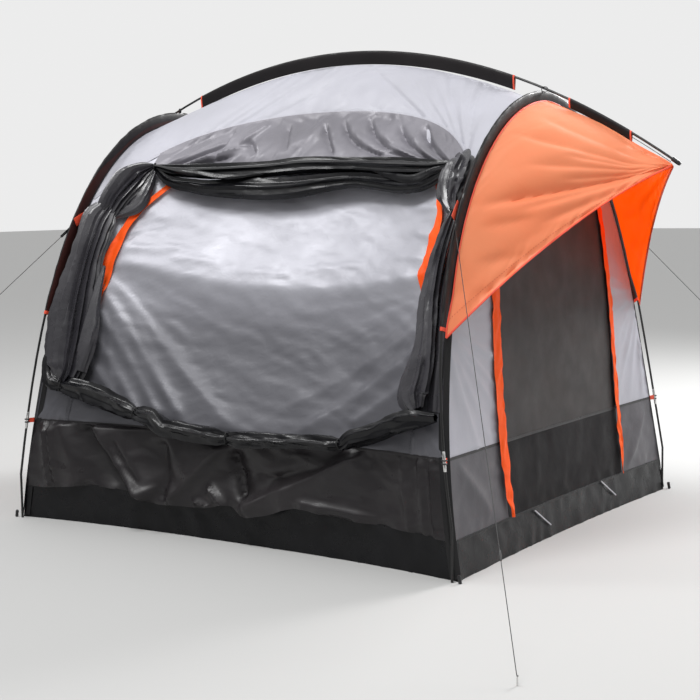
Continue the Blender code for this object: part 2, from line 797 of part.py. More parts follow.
def main():
    """Builds the tent."""
    clear_scene()
    shop = Workshop()
    add_floor(shop)
    add_front(shop)
    add_panel_flaps(shop)
    add_tunnel_sleeve(shop)
    add_back(shop)
    for word, side in SIDES.items():
        add_side_wall(shop, word, side)
    add_poles(shop)
    add_pole_sleeves(shop)
    add_awnings(shop)
    add_leg_clips(shop)
    add_guy_lines(shop)


main()
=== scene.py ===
"""Looks of the tailgate tent: cloth, tape, ties, poles and lines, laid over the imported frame.

The laws of the form repeat the named values of the solids. Metres, +Z up, vehicle side at -Y.
"""

import logging
import math
from dataclasses import dataclass, field
from enum import Enum
from functools import cached_property
from typing import Callable, Protocol, Sequence

import bpy
import numpy as np
from mathutils import Matrix


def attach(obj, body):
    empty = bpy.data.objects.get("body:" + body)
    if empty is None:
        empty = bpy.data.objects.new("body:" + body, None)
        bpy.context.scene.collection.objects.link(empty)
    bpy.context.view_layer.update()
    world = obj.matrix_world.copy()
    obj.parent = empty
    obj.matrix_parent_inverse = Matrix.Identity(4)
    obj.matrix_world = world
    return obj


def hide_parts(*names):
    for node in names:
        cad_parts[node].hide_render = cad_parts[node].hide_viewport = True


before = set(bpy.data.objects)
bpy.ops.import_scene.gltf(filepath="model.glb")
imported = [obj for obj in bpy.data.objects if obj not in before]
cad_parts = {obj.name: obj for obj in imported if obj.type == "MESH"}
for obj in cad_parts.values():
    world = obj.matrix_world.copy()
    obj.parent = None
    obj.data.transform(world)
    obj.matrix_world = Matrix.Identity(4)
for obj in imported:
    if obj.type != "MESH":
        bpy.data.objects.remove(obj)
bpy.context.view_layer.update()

log = logging.getLogger("tent")

Array = np.ndarray
Place = Callable[[Array, Array], Array]
Point = tuple[float, float, float]
SIDES = {"right": 1.0, "left": -1.0}
ENDS = {"front": -1.0, "back": 1.0}
LATTICE = 128
CLOTH, ROLLED, TAPE, MESH, SLEEVE = 0.0011, 0.0012, 0.0012, 0.0008, 0.001
SHARP = math.radians(55)
LEAST_AREA = 0.301
SEAM_REACH = 0.995
TIE_WIDTH, TIE_THICKNESS = 0.007, 0.002
FLOOR_HALF, FLOOR_TONE = 60.0, (0.46, 0.46, 0.455, 1)


def smooth(value: Array | float) -> Array:
    """Eases a share from 0 to 1."""
    t = np.clip(value, 0.0, 1.0)
    return t * t * (3 - 2 * t)


def mix(a: Array | float, b: Array | float, share: Array | float) -> Array:
    """What lies a share of the way from a to b."""
    return a + (b - a) * share


def unit(vectors: Array) -> Array:
    """Vectors along the last axis, made one long."""
    return vectors / np.maximum(np.linalg.norm(vectors, axis=-1, keepdims=True), 1e-12)


def stack(x: Array | float, y: Array | float, z: Array | float) -> Array:
    """Points from their three coordinates."""
    return np.stack(np.broadcast_arrays(x, y, z), axis=-1).astype(float)


def round_reach(angle: Array, half_wide: float, half_tall: float, power: float) -> Array:
    """How far a rounded box's outline is from its middle, in each direction."""
    wide, tall = np.abs(np.cos(angle)) / half_wide, np.abs(np.sin(angle)) / half_tall
    return (wide**power + tall**power) ** (-1 / power)


def pinch(share: Array | float, sharp: float = 0.5) -> Array:
    """Nothing at both ends and full in the middle, as where a roll of cloth is tied."""
    return np.maximum(0.0, np.sin(np.pi * np.clip(share, 0, 1))) ** sharp


def rail(rows: Sequence[Sequence[float]], at: Array | float) -> Array:
    """A smooth curve through rows of (share, value, ...), read at shares.

    Args:
        rows: The shares in rising order, each with its values.
        at: The shares to read at.

    Returns:
        The values, along a new last axis.
    """
    table = np.array(rows, float)
    knots, values = table[:, 0], table[:, 1:]
    slopes = np.gradient(values, knots, axis=0)
    at = np.clip(np.asarray(at, float), knots[0], knots[-1])
    k = np.clip(np.searchsorted(knots, at, side="right") - 1, 0, len(knots) - 2)
    span = (knots[k + 1] - knots[k])[..., None]
    t = (at - knots[k])[..., None] / span
    low, high, rise, fall = values[k], values[k + 1], slopes[k] * span, slopes[k + 1] * span
    return (
        (2 * t**3 - 3 * t**2 + 1) * low
        + (t**3 - 2 * t**2 + t) * rise
        + (3 * t**2 - 2 * t**3) * high
        + (t**3 - t**2) * fall
    )


@dataclass(frozen=True)
class Noise:
    """Smooth random numbers from 0 to 1 over a plane, the same on every run."""

    seed: int

    @cached_property
    def table(self) -> Array:
        """The lattice of random numbers."""
        return np.random.default_rng(self.seed).random((LATTICE, LATTICE))

    def corners(self, x: Array, y: Array) -> tuple[Array, ...]:
        """How far points are into their cells, and the numbers at each cell's four corners."""
        i, j = np.floor(x).astype(int), np.floor(y).astype(int)
        i0, i1, j0, j1 = i % LATTICE, (i + 1) % LATTICE, j % LATTICE, (j + 1) % LATTICE
        table = self.table
        return x - i, y - j, table[i0, j0], table[i1, j0], table[i0, j1], table[i1, j1]

    def at(self, x: Array | float, y: Array | float) -> Array:
        """The noise at points given in cells."""
        x, y = np.broadcast_arrays(np.asarray(x, float), np.asarray(y, float))
        s, t, a, b, c, d = self.corners(x, y)
        return mix(mix(a, b, smooth(s)), mix(c, d, smooth(s)), smooth(t))

    def facets(self, x: Array | float, y: Array | float) -> Array:
        """Noise of flat facets that meet in creases, bent so that no grid shows."""
        x, y = np.broadcast_arrays(np.asarray(x, float), np.asarray(y, float))
        x, y = x + 1.1 * self.at(x * 0.7 + 40, y * 0.7), y + 1.1 * self.at(x * 0.7, y * 0.7 + 70)
        s, t, a, b, c, d = self.corners(x, y)
        low, high = a + s * (b - a) + t * (c - a), d + (1 - s) * (c - d) + (1 - t) * (b - d)
        return np.where(s + t < 1, low, high)


HEM = (
    (-1, 0.153), (-0.86, 0.16), (-0.72, 0.178), (-0.62, 0.18), (-0.52, 0.17), (-0.435, 0.156), (-0.355, 0.13),
    (-0.26, 0.134), (-0.16, 0.135), (-0.07, 0.15), (0.0, 0.166), (0.07, 0.127), (0.165, 0.14), (0.34, 0.197),
    (0.48, 0.18), (0.65, 0.172), (0.825, 0.165), (1, 0.153),
)


@dataclass(frozen=True)
class TentForm:
    """The laws that the poles, seams and panels follow.

    Each height is the height at a face's side seams. In the middle of a face the same line
    lies higher, because the ridge is higher than the arches.
    """

    arch_half_span: float = 1.105
    arch_height: float = 1.985
    arch_exponent: float = 2.45
    foot_half_width: float = 1.242
    lean_in: float = 0.19
    lean_ease: float = 0.052
    ridge_height: float = 2.232
    ridge_drop: float = 0.199
    ridge_half_reach: float = 1.71
    seam_gap_foot: float = 0.024
    seam_gap_sleeve: float = 0.058
    sleeve_start: float = 1.0
    sleeve_end_height: float = 0.99
    corner_inset: float = 0.022
    ridge_seam_gap: float = 0.06
    tub_height: float = 0.153
    band_height: float = 0.478
    taut_slope: float = 0.577
    ground_bow: float = 0.08
    face_break: float = 0.5
    side_bow: float = 0.03
    flat_exponent: float = 2.6
    rise_start: float = 0.6
    opening_share: float = 0.84
    opening_top_middle: float = 1.713
    opening_top_fall: float = 0.18
    opening_top_exponent: float = 7.0
    door_half_width: float = 0.6
    door_top_height: float = 1.8
    door_exponent: float = 3.2
    awning_sew_drop: float = 0.038
    door_shift: float = 0.036

    def pole_x(self, z: Array | float) -> Array:
        """How far an arch pole stands from the middle at a height."""
        return self.foot_half_width - self.lean_in * z + self.lean_ease * z * z

    def arch(self, angle: Array | float) -> tuple[Array, Array]:
        """(y, z) on an arch pole, with angle 0 at the back foot and pi at the front foot."""
        sine = np.maximum(0.0, np.sin(angle))
        return self.arch_half_span * np.cos(angle), self.arch_height * sine ** (2 / self.arch_exponent)

    def arch_outward(self, angle: Array | float) -> tuple[Array, Array]:
        """The unit (y, z) that points away from the tent, square to an arch pole."""
        step = 0.002
        y0, z0 = self.arch(np.maximum(0.0, angle - step))
        y1, z1 = self.arch(np.minimum(np.pi, angle + step))
        length = np.hypot(y1 - y0, z1 - z0)
        return (z1 - z0) / length, -(y1 - y0) / length

    def seam_gap(self, z: Array | float) -> Array:
        """How far the body hangs inside the pole."""
        return mix(self.seam_gap_foot, self.seam_gap_sleeve, smooth(z / self.sleeve_start))

    @cached_property
    def seam(self) -> tuple[Array, Array]:
        """Heights and half depths of the body's seam under an arch, from the ground up."""
        angle = np.linspace(0, np.pi / 2, 1200)
        (y, z), (out_y, out_z) = self.arch(angle), self.arch_outward(angle)
        gap = self.seam_gap(z)
        return z - gap * out_z, np.maximum(0.0, y - gap * out_y)

    @property
    def seam_top(self) -> float:
        """The height of the side seam's top."""
        return float(self.seam[0][-1])

    def seam_y(self, height: Array | float) -> Array:
        """The body's half depth at its side seams."""
        return np.interp(height, *self.seam)

    def seam_x(self, height: Array | float) -> Array:
        """The body's half width at its corner seams."""
        return self.pole_x(height) - self.corner_inset * np.maximum(0.0, 1 - height / self.sleeve_start)

    def ridge_z(self, x: Array | float) -> Array:
        """The height of the ridge pole's centre line."""
        return self.ridge_height - self.ridge_drop * x * x

    def rise(self, height: Array | float) -> Array:
        """How much higher the middle of a face is than its sides."""
        full = self.ridge_height - self.ridge_seam_gap - self.seam_top
        return full * smooth((height - self.rise_start) / (self.seam_top - self.rise_start))

    def middle_y(self, height: Array | float) -> Array:
        """The half depth in the middle of a face."""
        top = self.ridge_height - self.ridge_seam_gap
        taut = self.taut_slope * (top - height)
        foot = self.seam_y(0.0) - self.ground_bow
        at_break = self.taut_slope * (top - self.face_break)
        low = foot + (at_break - foot) * height / self.face_break
        return np.maximum(0.0, np.minimum(taut, low))

    def face(self, across: Array, height: Array, end: float) -> Array:
        """Points of the front (-1) or back (1) face: across -1 to 1, height at its sides."""
        upper = smooth((height / self.seam_top - 0.7) / 0.3)
        flat = 1 - np.abs(across) ** (self.flat_exponent - 0.6 * upper)
        z = height + self.rise(height) * flat
        side = self.seam_y(height)
        middle = self.middle_y(height + self.rise(height))
        y = np.maximum(0.001, side + (middle - side) * flat)
        return stack(across * self.seam_x(height), end * y, z)

    def face_normal(self, across: Array, height: Array, end: float) -> Array:
        """Unit normals of a face, pointing out of the tent."""
        step = 0.004
        du = self.face(across + step, height, end) - self.face(across - step, height, end)
        dv = self.face(across, height + step, end) - self.face(across, height - step, end)
        return unit(np.cross(du, dv) * -end)

    def off_face(self, across: Array, height: Array, end: float, out: Array | float) -> Array:
        """Points that stand off a face."""
        out = np.asarray(out, float)[..., None]
        return self.face(across, height, end) + self.face_normal(across, height, end) * out

    def wall(self, y: Array, height: Array, side: float, out: Array | float = 0.0) -> Array:
        """Points of a side wall at a depth and height."""
        share = y / np.maximum(self.seam_y(height), 0.01)
        bow = self.side_bow * np.maximum(0.0, 1 - height) * np.maximum(0.0, 1 - share * share)
        return stack(side * (self.seam_x(height) - bow + out), y, height)

    def opening_top(self, across: Array | float) -> Array:
        """The side height of the seam where the roof ends and the tunnel sleeve begins."""
        return self.opening_top_middle - self.opening_top_fall * np.abs(across) ** self.opening_top_exponent

    def hem(self, across: Array | float) -> Array:
        """The side height of the vehicle side's hem, which droops over the floor's wall."""
        return rail(HEM, across)[..., 0]

    def door_half(self, height: Array | float) -> Array:
        """A door's half width at a height."""
        share = np.clip((height - self.band_height) / (self.door_top_height - self.band_height), 0, 1)
        return self.door_half_width * (1 - share**self.door_exponent) ** (1 / self.door_exponent)

    def door_top(self, y: Array | float) -> Array:
        """The height of a door's outline over a depth."""
        share = np.minimum(1.0, np.abs(y) / self.door_half_width)
        rise = (1 - share**self.door_exponent) ** (1 / self.door_exponent)
        return self.band_height + (self.door_top_height - self.band_height) * rise

    def door_reach(self, angle: Array) -> Array:
        """How far a door's outline is from the foot of the upper wall's middle."""
        tall = self.door_top_height - self.band_height
        return round_reach(angle, self.door_half_width, tall, self.door_exponent)

    def seam_reach(self, angle: Array) -> Array:
        """How far the side seam is from the foot of the upper wall's middle."""
        low, high = np.full(np.shape(angle), 0.3), np.full(np.shape(angle), 2.0)
        for _ in range(30):
            middle = (low + high) / 2
            height = self.band_height + middle * np.sin(angle)
            inside = (height < self.seam_top) & (np.abs(middle * np.cos(angle)) < self.seam_y(height))
            low, high = np.where(inside, middle, low), np.where(inside, high, middle)
        return low

    def arch_angle(self, height: float) -> float:
        """The angle at which an arch pole first reaches a height."""
        angle = np.linspace(0, np.pi / 2, 2000)
        return float(angle[np.argmax(self.arch(angle)[1] > height)])


class Edge(Enum):
    """The four edges of a panel of cloth."""

    BOTTOM = 0
    TOP = 1
    LEFT = 2
    RIGHT = 3


@dataclass
class Chart:
    """Where each point of a panel is: on a flat map, and from each edge, in metres."""

    a: Array
    b: Array
    edges: dict[Edge, tuple[Array, Array]]

    @classmethod
    def of(cls, points: Array, axes: tuple[int, int]) -> "Chart":
        """Maps a grid of points, using two of their coordinates as the flat map."""
        steps_u = np.linalg.norm(np.diff(points, axis=1), axis=-1)
        steps_v = np.linalg.norm(np.diff(points, axis=0), axis=-1)
        along = np.concatenate([np.zeros((len(points), 1)), np.cumsum(steps_u, axis=1)], axis=1)
        up = np.concatenate([np.zeros((1, points.shape[1])), np.cumsum(steps_v, axis=0)], axis=0)
        edges = {
            Edge.BOTTOM: (up, along),
            Edge.TOP: (up[-1:] - up, along),
            Edge.LEFT: (along, up),
            Edge.RIGHT: (along[:, -1:] - along, up),
        }
        return cls(points[..., axes[0]], points[..., axes[1]], edges)


class Relief(Protocol):
    """A kind of fold or crease, as a height over the cloth."""

    def height(self, chart: Chart) -> Array:
        """The height at each point of the chart."""
        ...


@dataclass(frozen=True)
class Fan:
    """Narrow folds that run out from a point that pulls on the cloth."""

    at: tuple[float, float]
    toward: float
    spread: float
    folds: int
    depth: float
    reach: float
    near: float = 0.05
    seed: int = 1
    width: float = 0.3

    def height(self, chart: Chart) -> Array:
        """One sharp crest for each fold, with its own turn, reach and strength."""
        noise = np.random.default_rng(self.seed)
        da, db = chart.a - self.at[0], chart.b - self.at[1]
        r = np.hypot(da, db)
        turn = np.arctan2(db, da) - math.radians(self.toward)
        turn = (turn + np.pi) % (2 * np.pi) - np.pi
        spread, total = math.radians(self.spread), np.zeros(r.shape)
        for k in range(self.folds):
            at = spread * (2 * (k + 0.2 + 0.6 * noise.random()) / self.folds - 1)
            strong, reach = mix(0.35, 1.0, noise.random()), self.reach * mix(0.5, 1.1, noise.random())
            bend = 0.12 * (noise.random() - 0.5) * r
            wide = self.width * spread * 2 / self.folds * mix(0.6, 1.2, noise.random()) + 0.006 / (r + 0.02)
            crest = np.exp(-np.abs((turn - at - bend) / wide) ** 1.3)
            total = total + strong * crest * np.exp(-((r / reach) ** 2.5))
        return self.depth * total * r / (r + self.near)


@dataclass(frozen=True)
class Crease:
    """One fold along a line from start to end, steeper on one flank."""

    start: tuple[float, float]
    end: tuple[float, float]
    depth: float
    width: float
    skew: float = 0.0
    bend: float = 0.0
    ease: float = 0.22

    def height(self, chart: Chart) -> Array:
        """A crest along the line, widest in the middle and gone at both ends."""
        da, db = self.end[0] - self.start[0], self.end[1] - self.start[1]
        length = math.hypot(da, db)
        pa, pb = chart.a - self.start[0], chart.b - self.start[1]
        along = (pa * da + pb * db) / (length * length)
        off = (pb * da - pa * db) / length - self.bend * 4 * along * (1 - along)
        wide = self.width * mix(0.45, 1.0, pinch(along, 1.0))
        flank = np.where(off > 0, 1 + self.skew, 1 - self.skew)
        inside = smooth(along / self.ease) * smooth((1 - along) / self.ease)
        return self.depth * inside * np.exp(-np.abs(off * flank / wide) ** 1.35)


@dataclass(frozen=True)
class Crumple:
    """Random flat facets of one size all over the cloth, with creases between them."""

    depth: float
    size: float
    stretch: float = 1.0
    turn: float = 0.0
    seed: int = 2
    layers: int = 2

    def height(self, chart: Chart) -> Array:
        """Facets, and weaker and finer ones across them."""
        noise, total = Noise(self.seed), 0.0
        for k in range(self.layers):
            angle = math.radians(self.turn + 23 * k)
            x = (chart.a * math.cos(angle) + chart.b * math.sin(angle)) / (self.size * self.stretch)
            y = (chart.b * math.cos(angle) - chart.a * math.sin(angle)) / self.size
            total = total + 0.42**k * (noise.facets(x * 2.1**k + 9 * k, y * 2.1**k) - 0.5)
        return self.depth * total


@dataclass(frozen=True)
class Pucker:
    """Short wrinkles square to a sewn edge."""

    edge: Edge
    depth: float
    pitch: float
    reach: float
    seed: int = 3

    def height(self, chart: Chart) -> Array:
        """Waves along the edge that fade away from it, some longer than others."""
        away, along = chart.edges[self.edge]
        noise = Noise(self.seed)
        drift = 1.6 * noise.at(along / self.pitch * 0.35, away / self.reach * 0.5)
        longer = self.reach * mix(0.35, 1.7, noise.at(along / self.pitch * 0.7 + 50, 1.0))
        wave = 1 - 2 * np.abs(np.sin(np.pi * (along / self.pitch * 0.5 + drift)))
        return 0.5 * self.depth * wave * np.exp(-away / longer)


@dataclass(frozen=True)
class Sag:
    """A slow bulge, out if depth is over 0, strongest at a point."""

    at: tuple[float, float]
    size: tuple[float, float]
    depth: float

    def height(self, chart: Chart) -> Array:
        """A soft mound."""
        da = (chart.a - self.at[0]) / self.size[0]
        db = (chart.b - self.at[1]) / self.size[1]
        return self.depth * np.exp(-(da * da + db * db))


class Finish(Enum):
    """The finishes of the tent, by the record's slot and a word for the finish."""

    SILVER = ("silver_polyester", "silver_cloth")
    CHARCOAL = ("charcoal_polyester", "charcoal_cloth")
    PANEL = ("grey_polyester", "panel_cloth")
    SLEEVE = ("sleeve_polyester", "sleeve_cloth")
    GATHER = ("sleeve_polyester", "gather_painted_sheen")
    DOOR_FOOT = ("charcoal_polyester", "door_foot_cloth")
    VEIL = ("sleeve_polyester", "veil_painted_sky_sheen")
    ARCH_SLEEVE = ("sleeve_polyester", "arch_sleeve_cloth")
    ORANGE_GLOW_TINT = ("orange_polyester", "sleeve_orange_glow")
    SIDE_BAND = ("charcoal_polyester", "side_band_painted_light")
    ORANGE = ("orange_polyester", "orange_cloth")
    ORANGE_SHADE = ("orange_polyester", "shaded_orange_cloth")
    ORANGE_TAPE = ("orange_polyester", "orange_tape")
    FLAP = ("orange_polyester", "flap_cloth")
    TUB = ("black_polyethylene", "tub_cloth")
    MESH = ("dark_mesh", "insect_mesh")
    POLE = ("pole_fibreglass", "pole_rod")
    WEBBING = ("black_webbing", "black_tape")
    MOULDED = ("black_webbing", "moulded_clip")
    CORD = ("guy_cord", "guy_strand")
    STEEL = ("peg_steel", "peg_wire")
    THREAD = ("black_webbing", "dark_thread")
    ORANGE_THREAD = ("orange_polyester", "orange_thread")
    PALE_THREAD = ("silver_polyester", "pale_thread")

    @property
    def slot(self) -> str:
        """The record's slot."""
        return self.value[0]


class Held(Enum):
    """How a sheet is held."""

    STRETCHED = "stretched"
    HUNG = "hung"
    GATHERED = "gathered"
    LAID = "laid"


@dataclass
class NodeSet:
    """The nodes of a material or a world, with short ways to add and join them."""

    owner: bpy.types.Material | bpy.types.World

    @classmethod
    def bare(cls, name: str) -> "NodeSet":
        """A new material without nodes."""
        made = bpy.data.materials.new(name)
        made.use_nodes = True
        made.node_tree.nodes.clear()
        return cls(made)

    def put(self, target: bpy.types.NodeSocket, value: object) -> None:
        """Links a socket to another one, or sets its value."""
        if isinstance(value, bpy.types.NodeSocket):
            self.owner.node_tree.links.new(value, target)
        else:
            target.default_value = value

    def add(self, kind: str, **values: object) -> bpy.types.Node:
        """Adds a node and sets its properties, and its sockets by name with spaces as underscores.

        Args:
            kind: The node's type name.
            values: What each gets: a value, or a socket to link to.

        Returns:
            The node.
        """
        node = self.owner.node_tree.nodes.new(kind)
        for key, value in values.items():
            if hasattr(node, key):
                setattr(node, key, value)
            else:
                self.put(node.inputs[key.replace("_", " ")], value)
        return node

    def noise(
        self, at: bpy.types.NodeSocket, scale: float, detail: float, **values: float
    ) -> bpy.types.NodeSocket:
        """Noise at a place."""
        return self.add("ShaderNodeTexNoise", Vector=at, Scale=scale, Detail=detail, **values).outputs["Fac"]

    def between(self, value: bpy.types.NodeSocket, **ends: object) -> bpy.types.NodeSocket:
        """A value moved from one range to another."""
        return self.add("ShaderNodeMapRange", **ends, Value=value).outputs["Result"]

    def numbered(self, kind: str, first: int, *inputs: object, **values: str) -> bpy.types.Node:
        """Adds a node whose inputs go by their numbers, from the first on."""
        node = self.add(kind, **values)
        for k, value in enumerate(inputs):
            self.put(node.inputs[first + k], value)
        return node

    def math(self, operation: str, a: object, b: object) -> bpy.types.NodeSocket:
        """A sum on two values."""
        return self.numbered("ShaderNodeMath", 0, a, b, operation=operation).outputs[0]

    def blend(self, share: bpy.types.NodeSocket, a: object, b: object) -> bpy.types.NodeSocket:
        """A colour between two."""
        node = self.numbered("ShaderNodeMix", 6, a, b, data_type="RGBA")
        self.put(node.inputs["Factor"], share)
        return node.outputs[2]

    def both(self, share: float, a: object, b: object) -> bpy.types.NodeSocket:
        """A mix of two shaders."""
        return self.numbered("ShaderNodeMixShader", 0, share, a, b).outputs[0]

    def bump(self, height: bpy.types.NodeSocket, strength: float, distance: float, **values: object) -> object:
        """Relief that only the light sees."""
        node = self.add("ShaderNodeBump", Height=height, Strength=strength, Distance=distance, **values)
        return node.outputs[0]

    def close(self, surface: bpy.types.NodeSocket) -> bpy.types.Material:
        """Ends the material with its surface."""
        self.numbered("ShaderNodeOutputMaterial", 0, surface)
        return self.owner


@dataclass(frozen=True)
class ClothFinish:
    """Woven cloth: colour, sheen, weave, fine crinkles, and how much light it stops or lets glow."""

    colour: Point
    shade: Point
    roughness: float = 0.45
    spread: float = 0.1
    metallic: float = 0.0
    specular: float = 0.5
    sheen: float = 0.0
    glow: float = 0.0
    glow_colour: Point = (0.95, 0.17, 0.02)
    crinkle: float = 0.35
    crinkle_size: float = 0.05
    weave: float = 0.1
    weave_pitch: float = 0.0016
    # A darker colour towards the ground, between two heights: painted shade for the dark ground that a glossy
    # cloth mirrors low down.
    low: Point | None = None
    painted_shade_from: float = 0.4
    painted_shade_to: float = 1.6
    cover: float = 1.0

    def build(self, name: str) -> bpy.types.Material:
        """Makes the material."""
        n = NodeSet.bare(name)
        place = n.add("ShaderNodeTexCoord")
        at = place.outputs["Object"]
        low, high = max(0.05, self.roughness - self.spread), min(1.0, self.roughness + self.spread)
        shader = n.add(
            "ShaderNodeBsdfPrincipled", Metallic=self.metallic, Specular_IOR_Level=self.specular,
            Sheen_Weight=self.sheen, Base_Color=self.paint(n, at),
            Roughness=n.between(n.noise(at, 9.0, 4.0), From_Min=0.3, From_Max=0.7, To_Min=low, To_Max=high),
            Normal=self.relief(n, at, place.outputs["UV"]),
        ).outputs[0]
        if self.glow:
            through = n.add("ShaderNodeBsdfTranslucent", Color=(*self.glow_colour, 1))
            shader = n.both(self.glow, shader, through.outputs[0])
        if self.cover < 1:
            shader = n.both(self.cover, n.add("ShaderNodeBsdfTransparent").outputs[0], shader)
        return n.close(shader)

    def paint(self, n: NodeSet, at: bpy.types.NodeSocket) -> bpy.types.NodeSocket:
        """Its colour with slow blotches, and where it has a low colour, darker towards the ground: painted
        shade for the dark ground that its glossy lower part mirrors.
        """
        tone = n.between(n.noise(at, 2.6, 3.0), From_Min=0.35, From_Max=0.65)
        paint = n.blend(tone, (*self.colour, 1), (*self.shade, 1))
        if self.low is None:
            return paint
        height = n.add("ShaderNodeSeparateXYZ", Vector=at).outputs["Z"]
        ends = {"From_Min": self.painted_shade_from, "From_Max": self.painted_shade_to}
        high = n.between(height, interpolation_type="SMOOTHSTEP", **ends)
        return n.blend(high, (*self.low, 1), paint)

    def relief(self, n: NodeSet, at: bpy.types.NodeSocket, flat: bpy.types.NodeSocket) -> bpy.types.NodeSocket:
        """The weave and the fine crinkles."""
        warp, weft = (
            n.add(
                "ShaderNodeTexWave", wave_type="BANDS", bands_direction=direction, Vector=flat,
                Scale=0.314 / self.weave_pitch,
            ).outputs["Fac"]
            for direction in ("X", "Y")
        )
        weave = n.bump(n.math("MULTIPLY", warp, weft), self.weave, 0.0004)
        crinkle = n.noise(at, 0.6 / self.crinkle_size, 3.0, Roughness=0.5, Distortion=0.4)
        fold = n.math("PINGPONG", crinkle, 0.16)
        return n.bump(fold, self.crinkle, self.crinkle_size * 0.25, Normal=weave)


@dataclass(frozen=True)
class HardFinish:
    """Rods, wire, moulded clips, cord and thread: a colour with fine marks along it."""

    colour: Point
    shade: Point
    roughness: float
    metallic: float = 0.0
    grain: float = 300.0
    bump: float = 0.1

    def build(self, name: str) -> bpy.types.Material:
        """Makes the material."""
        n = NodeSet.bare(name)
        marks = n.noise(n.add("ShaderNodeTexCoord").outputs["Object"], self.grain, 3.0)
        low, high = max(0.03, self.roughness - 0.08), self.roughness + 0.08
        shader = n.add(
            "ShaderNodeBsdfPrincipled", Metallic=self.metallic,
            Base_Color=n.blend(marks, (*self.colour, 1), (*self.shade, 1)),
            Roughness=n.between(marks, To_Min=low, To_Max=high), Normal=n.bump(marks, self.bump, 0.0005),
        )
        return n.close(shader.outputs[0])


